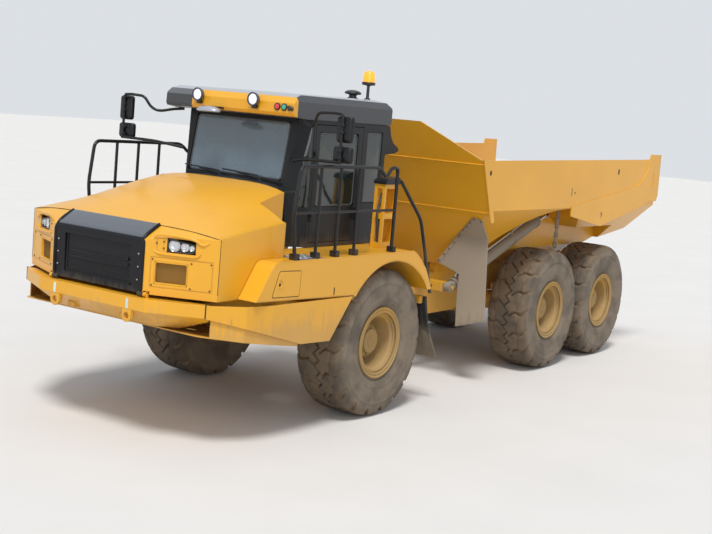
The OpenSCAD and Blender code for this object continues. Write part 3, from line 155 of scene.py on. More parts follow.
def makeWearGroup():
    # Edge = where a rounded normal turns away from the true one, broken up by noise
    # Dust = faces that look upwards
    group, given, out = newGroup("edgeWear", {"Radius": 0.012, "Amount": 0.5},
                                 {"Edge": "NodeSocketFloat", "Dust": "NodeSocketFloat",
                                  "Normal": "NodeSocketVector"})
    rounded = addNode(group, "ShaderNodeBevel", {"samples": 4},
                      {"Radius": given.outputs["Radius"]}).outputs[0]
    geometry = addNode(group, "ShaderNodeNewGeometry")
    turned = addNode(group, "ShaderNodeVectorMath", {"operation": "DOT_PRODUCT"},
                     {0: rounded, 1: geometry.outputs["True Normal"]}).outputs["Value"]
    chips = noiseNode(group, objectPlace(group), 16.0, 6.0)
    edge = times(group, rangeNode(group, turned, 0.97, 0.80), rangeNode(group, chips, 0.48, 0.62))
    edge = times(group, edge, given.outputs["Amount"], True)
    facing = rangeNode(group, upPart(group, geometry.outputs["Normal"]), 0.55, 0.98)
    dust = times(group, facing, rangeNode(group, chips, 0.30, 0.75), True)
    setSockets(group, out, {"Edge": edge, "Dust": dust, "Normal": rounded})
    return group


def makeGrainGroup():
    # Height = fine grain for a bump; Tone = slow changes of shade over the surface
    group, given, out = newGroup("surfaceGrain", {"Scale": 300.0},
                                 {"Height": "NodeSocketFloat", "Tone": "NodeSocketFloat"})
    place = objectPlace(group)
    setSockets(group, out, {"Height": noiseNode(group, place, given.outputs["Scale"], 3.0),
                            "Tone": noiseNode(group, place, 0.9, 4.0)})
    return group


mudFilm = makeMudGroup()
edgeWear = makeWearGroup()
surfaceGrain = makeGrainGroup()

# painted finishes: colours are linear; mud is the heights between which the film fades and how much of it
# there is; top is a paler colour painted on faces that look upwards, a painted highlight; a key that a finish
# leaves out is taken from usualPaint
mudColor = rgb(0.215, 0.150, 0.088)
dustColor = rgb(0.43, 0.36, 0.26)
chippedColor = rgb(0.16, 0.12, 0.09)
usualPaint = {"coat": 0.0, "shine": 0.5, "wear": 0.0, "dust": 0.05, "grain": 260.0, "bump": 0.0004}
finishes = {
    "yellow_paint": {"color": (0.78, 0.375, 0.016), "rough": 0.36, "coat": 0.22, "mud": (0.7, 1.75, 0.30),
        "wear": 0.30, "dust": 0.06},
    "rim_paint": {"color": (0.46, 0.255, 0.040), "rough": 0.55, "mud": (0.2, 2.2, 0.42), "wear": 0.30,
        "dust": 0.10, "grain": 120.0, "bump": 0.001},
    "black_paint": {"color": (0.012, 0.013, 0.015), "rough": 0.32, "coat": 0.10, "shine": 0.25,
        "mud": (1.5, 2.20, 0.16), "wear": 0.12, "dust": 0.04},
    "grille_black": {"color": (0.009, 0.009, 0.011), "rough": 0.34, "coat": 0.05, "shine": 0.22,
        "mud": (1.2, 1.7, 0.2), "wear": 0.05, "dust": 0.03, "bump": 0.0003},
    # roof_grey's top colour is a painted highlight: its faces that look upwards are painted paler than its
    # sides
    "roof_grey": {"color": (0.045, 0.047, 0.052), "top": (0.36, 0.38, 0.41), "rough": 0.34, "coat": 0.2,
        "mud": (2.5, 3.3, 0.05), "wear": 0.08, "dust": 0.25, "grain": 200.0, "bump": 0.0006},
    "seat_trim": {"color": (0.035, 0.036, 0.040), "rough": 0.75, "mud": (1.5, 2.0, 0.2), "grain": 500.0,
        "bump": 0.0012},
    "lamp_body": {"color": (0.015, 0.015, 0.017), "rough": 0.35, "coat": 0.1, "mud": (2.5, 3.0, 0.1),
        "wear": 0.05, "dust": 0.08, "grain": 300.0},
    "flap_rubber": {"color": (0.022, 0.020, 0.018), "rough": 0.72, "mud": (0.3, 1.5, 0.85), "grain": 140.0,
        "bump": 0.0015},
    "guard_grey": {"color": (0.36, 0.285, 0.205), "rough": 0.75, "mud": (0.4, 1.25, 0.75), "wear": 0.1,
        "dust": 0.15, "grain": 90.0, "bump": 0.003},
    "cylinder_grey": {"color": (0.27, 0.225, 0.170), "rough": 0.55, "mud": (0.9, 2.2, 0.35), "wear": 0.2,
        "dust": 0.15, "grain": 140.0, "bump": 0.001}
}


def newFinish(name):
    made = bpy.data.materials.new(name)
    made.use_nodes = True
    return made, made.node_tree, made.node_tree.nodes["Principled BSDF"]


def paintedFinish(name, look):
    # paint with slow changes of shade, a painted highlight on faces that look upwards where a finish gives a
    # top colour, then dust on top, chipped edges and the film of mud
    look = {**usualPaint, **look}
    made, tree, shader = newFinish(name)
    low, high, amount = look["mud"]
    mud = placeGroup(tree, mudFilm, Low=low, High=high, Amount=amount).outputs
    wear = placeGroup(tree, edgeWear, Radius=0.010, Amount=look["wear"]).outputs
    grain = placeGroup(tree, surfaceGrain, Scale=look["grain"]).outputs
    tone = rangeNode(tree, grain["Tone"], 0.35, 0.70, 0.45, 0.0)
    base = mixColor(tree, tone, rgb(*look["color"]), shaded(look["color"], 0.84))
    # painted highlight: faces that look upwards blend to the top colour, standing in for the light that falls
    # on them
    if "top" in look:
        facing = upPart(tree, addNode(tree, "ShaderNodeTexCoord").outputs["Normal"])
        base = mixColor(tree, rangeNode(tree, facing, 0.55, 0.90), base, rgb(*look["top"]))
    base = mixColor(tree, times(tree, wear["Dust"], look["dust"]), base, dustColor)
    base = mixColor(tree, wear["Edge"], base, chippedColor)
    wet = mixColor(tree, mud["Patches"], shaded(mudColor, 0.45), dustColor)
    base = mixColor(tree, mud["Mask"], base, wet)
    rough = plus(tree, look["rough"], times(tree, mud["Mask"], 0.5), True)
    rough = plus(tree, rough, times(tree, grain["Height"], 0.06), True)
    height = plus(tree, times(tree, grain["Height"], look["bump"]), times(tree, mud["Mask"], 0.003))
    bump = addNode(tree, "ShaderNodeBump", None,
                   {"Height": height, "Distance": 1.0, "Strength": 0.8, "Normal": wear["Normal"]})
    setSockets(tree, shader, {"Base Color": base, "Roughness": rough, "Coat Weight": look["coat"],
                              "Coat Roughness": 0.16, "Specular IOR Level": look["shine"],
                              "Normal": bump.outputs[0]})
    return made


def glassFinish():
    made, tree, shader = newFinish("window_glass")
    grain = placeGroup(tree, surfaceGrain, Scale=8.0).outputs
    setSockets(tree, shader, {"Base Color": rgb(0.86, 0.93, 0.94), "Transmission Weight": 1.0, "IOR": 1.15,
                              "Roughness": rangeNode(tree, grain["Tone"], 0.2, 0.8, 0.02, 0.07),
                              "Coat Weight": 0.6, "Coat Roughness": 0.02})
    return made


def rodFinish():
    made, tree, shader = newFinish("rod_chrome")
    grain = placeGroup(tree, surfaceGrain, Scale=90.0).outputs
    base = mixColor(tree, grain["Tone"], rgb(0.62, 0.62, 0.63), rgb(0.42, 0.40, 0.37))
    setSockets(tree, shader, {"Base Color": base, "Metallic": 1.0,
                              "Roughness": rangeNode(tree, grain["Height"], 0.3, 0.7, 0.12, 0.26)})
    return made


def tyreFinish():
    # radial is the distance from the wheel's axis in metres: dry grey sidewall, mud between the lugs
    made, tree, shader = newFinish("tyre_rubber")
    radial, depth = (addNode(tree, "ShaderNodeAttribute", {"attribute_name": label}).outputs["Fac"]
                     for label in ("radial", "grooveDepth"))
    place = objectPlace(tree)
    fine = noiseNode(tree, place, 22.0, 8.0, 0.7)
    broad = noiseNode(tree, place, 4.0, 5.0)
    rubber = mixColor(tree, fine, rgb(0.046, 0.035, 0.026), rgb(0.125, 0.096, 0.068))
    dried = mixColor(tree, fine, rgb(0.125, 0.096, 0.066), rgb(0.27, 0.212, 0.150))
    side = rangeNode(tree, radial, 0.775, 0.70)
    film = times(tree, rangeNode(tree, broad, 0.30, 0.62), 0.8)
    base = mixColor(tree, times(tree, side, plus(tree, film, 0.25), True), rubber, dried)
    packed = times(tree, depth, rangeNode(tree, fine, 0.25, 0.6))
    base = mixColor(tree, packed, base, mudColor)
    treadFilm = times(tree, rangeNode(tree, broad, 0.35, 0.62), 0.55)
    base = mixColor(tree, times(tree, treadFilm, minus(tree, 1.0, side)), base, mudColor)
    bump = addNode(tree, "ShaderNodeBump", None, {"Height": times(tree, fine, 0.006), "Distance": 1.0})
    setSockets(tree, shader, {"Base Color": base, "Roughness": rangeNode(tree, fine, 0.2, 0.8, 0.62, 0.9),
                              "Normal": bump.outputs[0]})
    return made


# clear and shiny finishes: the slot they belong to, linear colour, roughness, coat, transmission, metal and
# light of their own; a key that a finish leaves out is zero
usualPlain = {"coat": 0.0, "clear": 0.0, "metal": 0.0, "glow": 0.0}
plainFinishes = {
    "lamp_glass": {"slot": "lamp_body", "color": (0.93, 0.95, 0.96), "rough": 0.04, "coat": 0.4, "clear": 0.9},
    "lamp_silver": {"slot": "lamp_body", "color": (0.90, 0.90, 0.91), "rough": 0.16,
        "metal": 0.85, "glow": 0.25},
    "steel_bright": {"slot": "rod_chrome", "color": (0.60, 0.60, 0.60), "rough": 0.28, "metal": 0.9},
    "steel_dark": {"slot": "black_paint", "color": (0.065, 0.050, 0.036), "rough": 0.5, "metal": 0.4},
    # dark seams, gaps and holes are painted shade: dark lines and sheets put where the openings lie in shadow
    "painted_gap_shade": {"slot": "black_paint", "color": (0.020, 0.014, 0.006), "rough": 0.8},
    # the cap is black; its bluish grey colour is a painted sheen of the sky over it, besides its real coat
    "cap_painted_sheen": {"slot": "grille_black", "color": (0.085, 0.098, 0.120), "rough": 0.22, "coat": 0.8,
        "metal": 0.35},
    # the vent mesh is yellow like the hood; its dark brown is painted shade of the recess it sits in
    "vent_mesh_painted_shade": {"slot": "yellow_paint", "color": (0.205, 0.105, 0.012), "rough": 0.6},
    # bumper reflectors have no lamp: their faint glow is a painted glint
    "reflector_painted_glint": {"slot": "lamp_body", "color": (0.62, 0.70, 0.66), "rough": 0.25,
        "coat": 0.3, "glow": 0.1},
    "lamp_red": {"slot": "lamp_body", "color": (0.62, 0.012, 0.030), "rough": 0.12, "coat": 0.8, "glow": 0.25},
    "lamp_green": {"slot": "lamp_body", "color": (0.030, 0.34, 0.24), "rough": 0.12, "coat": 0.8, "glow": 0.2},
    "lamp_amber": {"slot": "lamp_body", "color": (0.95, 0.36, 0.012), "rough": 0.14, "coat": 0.8,
        "clear": 0.35, "glow": 0.7},
    "mirror_glass": {"slot": "rod_chrome", "color": (0.72, 0.75, 0.77), "rough": 0.03, "metal": 1.0},
    "screen_glass": {"slot": "window_glass", "color": (0.20, 0.29, 0.36), "rough": 0.04, "coat": 1.0,
        "clear": 0.55},
    "tinted_glass": {"slot": "window_glass", "color": (0.050, 0.075, 0.062), "rough": 0.04, "coat": 0.6,
        "clear": 0.75},
    "pane_rubber": {"slot": "black_paint", "color": (0.030, 0.036, 0.036), "rough": 0.30, "coat": 0.5},
    "housing_blue": {"slot": "lamp_body", "color": (0.016, 0.022, 0.065), "rough": 0.25, "coat": 0.6},
    "lens_white": {"slot": "lamp_body", "color": (0.86, 0.88, 0.93), "rough": 0.12, "coat": 0.8, "glow": 0.35},
    "dish_grey": {"slot": "roof_grey", "color": (0.36, 0.38, 0.42), "rough": 0.35, "coat": 0.4, "metal": 0.2}
}


def plainFinish(name, look):
    # colour and roughness drift slowly over the surface, with dust in the broad patches
    look = {**usualPlain, **look}
    made, tree, shader = newFinish(name)
    grain = placeGroup(tree, surfaceGrain, Scale=140.0).outputs
    tone = rangeNode(tree, grain["Tone"], 0.35, 0.75)
    base = mixColor(tree, tone, rgb(*look["color"]), shaded(look["color"], 0.82, 0.02))
    rough = rangeNode(tree, grain["Height"], 0.2, 0.8, look["rough"], look["rough"] + 0.06)
    setSockets(tree, shader, {"Base Color": base, "Roughness": rough, "Metallic": look["metal"],
                              "Transmission Weight": look["clear"], "Coat Weight": look["coat"],
                              "Coat Roughness": 0.05, "Emission Color": base,
                              "Emission Strength": look["glow"]})
    return made


materials = {name: paintedFinish(name, look) for name, look in finishes.items()}
materials.update({name: plainFinish(name, look) for name, look in plainFinishes.items()})
materials.update(window_glass=glassFinish(), rod_chrome=rodFinish(), tyre_rubber=tyreFinish())
for name, piece in nodes.items():
    piece.data.materials.clear()
    piece.data.materials.append(materials[slotOfNode[name]])
print("finishes made:", len(materials))

# camera, floor and light

# the photograph's camera: place in metres, angles in degrees, focal length in pixels of the image
view = {
    "place": (13.259, 8.430, 3.299), "yaw": 214.13, "pitch": -7.40, "roll": 5.04, "focalPixels": 1226.3,
    "imageWidth": 712, "sensor": 36.0
}


def aimedCamera(aim):
    yaw, pitch, roll = (math.radians(aim[key]) for key in ("yaw", "pitch", "roll"))
    forward = Vector((math.cos(pitch) * math.cos(yaw), math.cos(pitch) * math.sin(yaw), math.sin(pitch)))
    level = Vector((math.sin(yaw), -math.cos(yaw), 0.0))
    upright = level.cross(forward)
    right = level * math.cos(roll) + upright * math.sin(roll)
    up = upright * math.cos(roll) - level * math.sin(roll)
    camera = bpy.data.objects.new("camera", bpy.data.cameras.new("camera"))
    turned = Matrix((right, up, -forward)).transposed().to_4x4()
    camera.matrix_world = Matrix.Translation(aim["place"]) @ turned
    camera.data.sensor_width = aim["sensor"]
    camera.data.lens = aim["sensor"] * aim["focalPixels"] / aim["imageWidth"]
    camera.data.clip_end = 500.0
    bpy.context.scene.collection.objects.link(camera)
    bpy.context.scene.camera = camera


def paleFloor(size=160.0):
    mesh = bpy.data.meshes.new("floor")
    corners = [(x * size / 2, y * size / 2, 0.0) for x, y in ((-1, -1), (1, -1), (1, 1), (-1, 1))]
    mesh.from_pydata(corners, [], [(0, 1, 2, 3)])
    floor = bpy.data.objects.new("floor", mesh)
    bpy.context.scene.collection.objects.link(floor)
    made, tree, shader = newFinish("floor")
    grain = placeGroup(tree, surfaceGrain, Scale=12.0).outputs
    base = mixColor(tree, grain["Tone"], rgb(0.66, 0.63, 0.59), rgb(0.72, 0.69, 0.65))
    setSockets(tree, shader, {"Base Color": base, "Roughness": 0.9})
    mesh.materials.append(made)


# each lamp: strength, direction, width of its disc in degrees
suns = {"keyLight": (2.5, (-0.45, -0.25, -1.0), 14.0), "fillLight": (0.55, (-0.9, -0.75, -0.35), 40.0)}


def softLight(lamps):
    # a bluish sky lights the truck, and the camera, glass and mirrors see a paler one
    world = bpy.data.worlds.new("studio")
    world.use_nodes = True
    tree = world.node_tree
    path = addNode(tree, "ShaderNodeLightPath").outputs
    seen = mathNode(tree, "MAXIMUM", path["Is Camera Ray"], path["Is Transmission Ray"])
    seen = mathNode(tree, "MAXIMUM", seen, path["Is Glossy Ray"])
    color = mixColor(tree, seen, rgb(0.80, 0.88, 1.0), rgb(0.72, 0.75, 0.78))
    strength = rangeNode(tree, seen, 0.0, 1.0, 0.60, 1.0)
    setSockets(tree, tree.nodes["Background"], {"Color": color, "Strength": strength})
    bpy.context.scene.world = world
    for name, (energy, direction, spread) in lamps.items():
        lamp = bpy.data.objects.new(name, bpy.data.lights.new(name, "SUN"))
        lamp.data.energy = energy
        lamp.data.angle = math.radians(spread)
        lamp.rotation_euler = Vector(direction).to_track_quat("-Z", "Y").to_euler()
        bpy.context.scene.collection.objects.link(lamp)


aimedCamera(view)
paleFloor()
softLight(suns)
bpy.context.scene.view_settings.view_transform = "Standard"
print("camera, floor and light set")

# mesh tools: every new piece is a pair of points and faces worked out with numpy

forward, sideways, upward = (1.0, 0.0, 0.0), (0.0, 1.0, 0.0), (0.0, 0.0, 1.0)


def placePiece(name, part, material, body, sharpAngle=35.0, stands=(), sealed=True):
    points, faces = part
    mesh = bpy.data.meshes.new(name)
    mesh.from_pydata(np.asarray(points, float).reshape(-1, 3).tolist(), [],
                     [list(map(int, face)) for face in faces])
    mesh.materials.append(materials[material])
    return finishPiece(name, mesh, body, sharpAngle, stands, sealed)


def finishPiece(name, mesh, body, sharpAngle, stands, sealed=True):
    # a sealed piece has its seams and poles merged and its faces turned outwards
    if sealed:
        work = bmesh.new()
        work.from_mesh(mesh)
        bmesh.ops.remove_doubles(work, verts=work.verts, dist=0.00002)
        bmesh.ops.dissolve_degenerate(work, edges=work.edges, dist=0.00001)
        bmesh.ops.recalc_face_normals(work, faces=work.faces)
        work.to_mesh(mesh)
        work.free()
    mesh.shade_smooth()
    mesh.set_sharp_from_angle(angle=math.radians(sharpAngle))
    piece = bpy.data.objects.new(name, mesh)
    bpy.context.scene.collection.objects.link(piece)
    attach(piece, body)
    if stands:
        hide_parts(*stands)
    return piece


def gridFaces(rows, columns, wrapRows=False, wrapColumns=False):
    # quads between neighbouring points of a rows x columns grid, row by row
    r = np.arange(rows if wrapRows else rows - 1)
    c = np.arange(columns if wrapColumns else columns - 1)
    r, c = np.meshgrid(r, c, indexing="ij")
    nextRow, nextColumn = (r + 1) % rows, (c + 1) % columns
    corners = [r * columns + c, nextRow * columns + c, nextRow * columns + nextColumn,
               r * columns + nextColumn]
    return np.stack(corners, axis=-1).reshape(-1, 4)


def joined(parts):
    # several pairs of points and faces as one, their numbering carried on
    points, faces, count = [], [], 0
    for somePoints, someFaces in parts:
        somePoints = np.asarray(somePoints, float).reshape(-1, 3)
        points.append(somePoints)
        faces += [tuple(int(i) + count for i in face) for face in someFaces]
        count += len(somePoints)
    return np.concatenate(points), faces


def unitRows(rows):
    return rows / np.maximum(np.linalg.norm(rows, axis=-1, keepdims=True), 1e-9)


def smoothCurve(points, count):
    # Catmull-Rom curve through the points: a cubic between each two, led by their neighbours
    p = np.asarray(points, float)
    p = np.concatenate([2 * p[:1] - p[1:2], p, 2 * p[-1:] - p[-2:-1]])
    t = (np.arange(count) / count)[None, :, None]
    a, b, c, d = p[:-3, None], p[1:-2, None], p[2:-1, None], p[3:, None]
    curve = 0.5 * (2 * b + (c - a) * t + (2 * a - 5 * b + 4 * c - d) * t ** 2
                   + (3 * b - a - 3 * c + d) * t ** 3)
    return np.concatenate([curve.reshape(-1, p.shape[1]), p[-2:-1]])


def roundTube(path, radius, sides=12, flat=1.0):
    # a circle carried along the path, square to it, and closed to a point at each end
    path = np.asarray(path, float)
    along = unitRows(np.gradient(path, axis=0))
    guess = np.eye(3)[np.argmin(np.abs(along).max(axis=0))]
    side = unitRows(np.cross(along, guess))
    up = np.cross(along, side)
    turn = (np.arange(sides) * 2 * math.pi / sides)[None, :, None]
    radius = np.broadcast_to(np.asarray(radius, float), len(path))[:, None, None]
    rings = path[:, None] + radius * (np.cos(turn) * side[:, None] + flat * np.sin(turn) * up[:, None])
    rings = np.concatenate([np.repeat(path[:1, None], sides, 1), rings, np.repeat(path[-1:, None], sides, 1)])
    return rings.reshape(-1, 3), gridFaces(len(rings), sides, False, True)


def turnedShape(profile, origin, direction, steps=40):
    # a profile of distance along and radius turned round the line through the origin
    profile = np.asarray(profile, float)
    w = unitRows(np.asarray(direction, float))
    u = unitRows(np.cross(w, np.eye(3)[np.argmin(np.abs(w))]))
    v = np.cross(w, u)
    turn = np.arange(steps) * 2 * math.pi / steps
    spread = np.cos(turn)[:, None] * u + np.sin(turn)[:, None] * v
    points = np.asarray(origin, float) + profile[:, None, :1] * w + profile[:, None, 1:] * spread[None]
    return points.reshape(-1, 3), gridFaces(len(profile), steps, False, True)


def roundHead(radius, side, height, top):
    # profile of a round head: straight as far as side, then bevelled to the radius of its top
    return [(0.0, 0.0), (0.0, radius), (side, radius), (height, top), (height, 0.0)]


def roundedOutline(corners, radius, steps=4):
    # each corner of a closed outline becomes a quadratic curve that starts one radius before it
    p = np.asarray(corners, float)
    before, after = np.roll(p, 1, axis=0) - p, np.roll(p, -1, axis=0) - p
    reach = [np.minimum(radius, 0.45 * np.linalg.norm(edge, axis=1))[:, None] for edge in (before, after)]
    start, end = p + unitRows(before) * reach[0], p + unitRows(after) * reach[1]
    t = np.linspace(0.0, 1.0, steps + 1)[None, :, None]
    curve = (1 - t) ** 2 * start[:, None] + 2 * t * (1 - t) * p[:, None] + t ** 2 * end[:, None]
    return curve.reshape(-1, 2)


def insetRing(outline, amount):
    # every point moves inwards along the mean of its two edges' normals
    following = np.roll(outline, -1, axis=0)
    area = np.sum(outline[:, 0] * following[:, 1] - outline[:, 1] * following[:, 0])
    edge = unitRows(following - outline) * (1.0 if area > 0 else -1.0)
    normal = np.stack([-edge[:, 1], edge[:, 0]], axis=1)
    mean = unitRows(normal + np.roll(normal, 1, axis=0))
    stretch = 1.0 / np.maximum(np.sum(mean * normal, axis=1, keepdims=True), 0.5)
    return outline + mean * stretch * amount


def roundedLevels(height, edge, low=0.0):
    # heights and insets from the lower rim to the upper one, a quarter circle at each
    turn = np.linspace(0.0, math.pi / 2, 4)
    lower = [(low + edge * (1 - math.cos(t)), edge * (1 - math.sin(t))) for t in turn]
    return lower + [(2 * low + height - h, inset) for h, inset in reversed(lower)]


def ringStack(outline, levels):
    # the outline at each height, drawn in there by its inset
    outline = np.asarray(outline, float)
    return [np.column_stack([insetRing(outline, inset), np.full(len(outline), height)])
            for height, inset in levels]


def stackedPlate(outline, levels):
    # a ring of the outline at each level, closed over both ends
    rings = ringStack(outline, levels)
    ends = [np.repeat(ring.mean(axis=0)[None], len(outline), 0) for ring in (rings[0], rings[-1])]
    return np.concatenate([ends[0], *rings, ends[1]]), gridFaces(len(rings) + 2, len(outline), False, True)


def crownedPlate(outline, levels, crown, count=6):
    # rings up the edge as in a stacked plate, then smaller copies of the last one that rise to the crown
    rings = ringStack(outline, levels)
    top, middle = rings[-1], rings[-1].mean(axis=0)
    for share in np.linspace(0.0, 1.0, count)[1:]:
        rings.append(middle + (top - middle) * (1 - share) + (0.0, 0.0, crown * (1 - (1 - share) ** 2)))
    rings.insert(0, np.repeat(rings[0].mean(axis=0)[None], len(outline), 0))
    return np.concatenate(rings), gridFaces(len(rings), len(outline), False, True)


def flatSheet(outline, thick, edge):
    # a sheet of any outline with a bevelled rim, closed by one face on each side
    rings = ringStack(outline, [(0.0, 0.0), (thick - edge, 0.0), (thick, edge)])
    count = len(outline)
    faces = [tuple(face) for face in gridFaces(len(rings), count, False, True).tolist()]
    return np.concatenate(rings), faces + [tuple(range(count))[::-1], tuple(range(2 * count, 3 * count))]


def openFrame(outline, levels):
    # a frame that goes round the outline: up its outer side and down its inner one
    rings = ringStack(outline, levels)
    return np.concatenate(rings), gridFaces(len(rings), len(outline), True, True)


def rectangle(width, height):
    return [(-width / 2, -height / 2), (width / 2, -height / 2), (width / 2, height / 2),
            (-width / 2, height / 2)]


def roundedBar(low, high, edge):
    # a box between two corners with rounded edges
    low, high = np.asarray(low, float), np.asarray(high, float)
    size = high - low
    outline = roundedOutline(rectangle(size[0], size[1]), edge, 3)
    points, faces = stackedPlate(outline, roundedLevels(size[2], edge))
    return points + [(low[0] + high[0]) / 2, (low[1] + high[1]) / 2, low[2]], faces


def mapped(part, origin, across, up, out):
    # a part drawn in its own plane, laid on the plane of across and up with its height along out
    points, faces = part
    return np.asarray(origin, float) + np.asarray(points) @ np.array([across, up, out], float), faces


def mirrored(part):
    points, faces = part
    return np.asarray(points) * (1.0, -1.0, 1.0), [tuple(face)[::-1] for face in faces]


def bothSides(part):
    return joined([part, mirrored(part)])


# wheels: tyres with a leaning lug tread, rims with lock rings, hubs and their bolts

wheelPlaces = {}
for spot in ("front", "mid", "rear"):
    for side in ("left", "right"):
        low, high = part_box(f"tyre_{spot}_{side}")
        wheelPlaces[f"{spot}_{side}"] = ((low + high) / 2, 1.0 if side == "left" else -1.0)

# lengths in metres: across runs from the middle plane, softness is half the width of a groove's slope
tyreLook = {
    "lugs": 18, "stepsPerLug": 28, "depth": 0.038, "grooveHalf": 0.024, "lean": math.tan(math.radians(22)),
    "phase": 5.0, "softness": 0.007, "inner": 0.045, "bend": 0.026, "zigzag": 0.034, "ringAcross": 0.165,
    "ringWave": 0.012, "worn": 0.0035
}
# half section of the tyre from the middle of the tread to the bead: radius, distance from the middle plane
tyreSection = [
    (0.808, 0.0), (0.808, 0.05), (0.8075, 0.10), (0.806, 0.15), (0.8045, 0.19), (0.801, 0.222),
    (0.794, 0.245), (0.782, 0.262), (0.760, 0.275), (0.735, 0.283), (0.706, 0.289), (0.672, 0.294),
    (0.668, 0.2975), (0.655, 0.2975), (0.650, 0.2945), (0.610, 0.2970), (0.570, 0.2972), (0.530, 0.294),
    (0.500, 0.289), (0.492, 0.291), (0.484, 0.289), (0.460, 0.282), (0.435, 0.270), (0.418, 0.256),
    (0.404, 0.246), (0.398, 0.2455), (0.319, 0.2455), (0.319, 0.12), (0.319, 0.0)
]


def smoothStep(value, low, high):
    share = np.clip((value - low) / (high - low), 0.0, 1.0)
    return share * share * (3.0 - 2.0 * share)


def denseSection(section, spacing):
    # points along the section, closer together where the tread is
    section = np.array(section)
    lengths = np.linalg.norm(np.diff(section, axis=0), axis=1)
    along = np.concatenate([[0.0], np.cumsum(lengths)])
    stops = [0.0]
    for start, end in zip(along[:-1], along[1:]):
        count = max(1, int(round((end - start) / spacing))) if start < 0.36 else 1
        stops += list(np.linspace(start, end, count + 1)[1:])
    stops = np.array(stops)
    return np.stack([np.interp(stops, along, section[:, 0]), np.interp(stops, along, section[:, 1])], axis=1)


def wheelShape(centre, side, angle, r, y, closed):
    # points at distance r and angle round the wheel's axis, y measured outwards from its middle plane
    points = np.stack([centre.x + r * np.cos(angle), centre.y + side * y, centre.z - r * np.sin(angle)],
                      axis=-1)
    faces = gridFaces(*angle.shape, True, closed)
    return points, faces[:, ::-1] if side > 0 else faces


def makeTyre(name, centre, side, look):
    # radius(angle, across) = section radius less the depth of the leaning grooves, the zigzag and the rings
    half = denseSection(tyreSection, 0.0105)
    section = np.concatenate([half, [(r, -y) for r, y in half[-2:0:-1]]])
    tread = tyreSection[0][0]
    steps, pitch = look["lugs"] * look["stepsPerLug"], 2 * math.pi / look["lugs"]
    angle = np.arange(steps) * 2 * math.pi / steps
    angle, r = np.meshgrid(angle, section[:, 0], indexing="ij")
    y = np.broadcast_to(section[:, 1], angle.shape)
    across = np.abs(y)
    # shoulder grooves: away is the distance from a groove's middle line in pitches
    bend = look["bend"] * np.sin((across - 0.06) / 0.22 * 2 * math.pi) * smoothStep(across, 0.04, 0.10)
    start = math.radians(look["phase"]) + np.where(y >= 0, 0.0, pitch / 2)
    line = start - (across * look["lean"] + bend) / tread
    away = ((angle - line) / pitch + 0.5) % 1.0 - 0.5
    width = look["grooveHalf"] * (0.55 + 0.45 * smoothStep(across, 0.06, 0.24))
    groove = 1.0 - smoothStep(np.abs(away) * pitch * tread, width - look["softness"],
                              width + look["softness"])
    groove = groove * smoothStep(across, look["inner"] - 0.02, look["inner"] + 0.01)
    shoulder = 1.0 - smoothStep(tread - r, 0.050, 0.105)
    # a zigzag along the middle and a shallow ring on each side of it
    zig = look["zigzag"] * (2.0 * np.abs(((angle / pitch * 2.0) % 1.0) * 2.0 - 1.0) - 1.0)
    middle = 1.0 - smoothStep(np.abs(y - zig), 0.007, 0.015)
    ring = look["ringAcross"] + look["ringWave"] * np.sign(np.sin(2 * math.pi * (angle - line) / pitch))
    outer = (1.0 - smoothStep(np.abs(across - ring), 0.004, 0.011)) * 0.32
    depth = np.maximum(np.maximum(groove * shoulder, middle * 0.75), outer) * (r > 0.60)
    worn = look["worn"] * np.sin(angle * 5 + 1.3 * centre.x) * smoothStep(r, 0.70, 0.80)
    r = r - depth * look["depth"] - np.abs(worn)
    piece = placePiece(f"tread_{name}", wheelShape(centre, side, angle, r, y, True), "tyre_rubber",
                       f"wheel_{name}", 40.0, [f"tyre_{name}"], False)
    for label, values in (("radial", r), ("grooveDepth", depth)):
        piece.data.attributes.new(label, "FLOAT", "POINT").data.foreach_set("value", values.ravel())


# rows of bolts: how many, radius of their circle, place across, size and height of a head, turn of the first
rimLook = {
    "steps": 96,
    "bolts": ((16, 0.222, 0.008, 0.017, 0.034, 0.0), (12, 0.150, 0.106, 0.012, 0.020, 0.2),
        (24, 0.186, 0.060, 0.009, 0.014, 0.1))
}
# section of the rim, open side outwards: radius, distance from the middle plane
rimSection = [
    (0.000, 0.146), (0.040, 0.147), (0.060, 0.150), (0.064, 0.145), (0.128, 0.143), (0.134, 0.138),
    (0.136, 0.112), (0.166, 0.108), (0.172, 0.102), (0.174, 0.066), (0.196, 0.060), (0.200, 0.052),
    (0.201, 0.014), (0.236, 0.010), (0.252, 0.004), (0.262, 0.030), (0.268, 0.128), (0.280, 0.196),
    (0.300, 0.214), (0.306, 0.222), (0.302, 0.230), (0.308, 0.238), (0.326, 0.242), (0.330, 0.250),
    (0.327, 0.256), (0.334, 0.262), (0.352, 0.263), (0.358, 0.257), (0.362, 0.262), (0.372, 0.268),
    (0.384, 0.268), (0.390, 0.262), (0.390, 0.248), (0.380, 0.2459), (0.3175, 0.2459), (0.3175, -0.2459),
    (0.384, -0.2459), (0.390, -0.250), (0.390, -0.262), (0.372, -0.264), (0.300, -0.262), (0.290, -0.240),
    (0.288, -0.030), (0.196, -0.050), (0.195, -0.232), (0.083, -0.232), (0.083, 0.108), (0.000, 0.108)
]


def hexBolt(radius, height, sides=6):
    # a bolt head along +X with a bevelled rim: rings of points of growing x
    rings = [(0.0, 1.0), (height * 0.78, 1.0), (height, 0.82), (height, 0.0)]
    turn = np.arange(sides) * 2 * math.pi / sides
    x, spread = np.array(rings).T
    points = np.stack([np.repeat(x, sides), np.outer(spread, np.cos(turn)).ravel() * radius,
                       np.outer(spread, np.sin(turn)).ravel() * radius], axis=-1)
    return points, gridFaces(len(rings), sides, False, True)[:, ::-1]


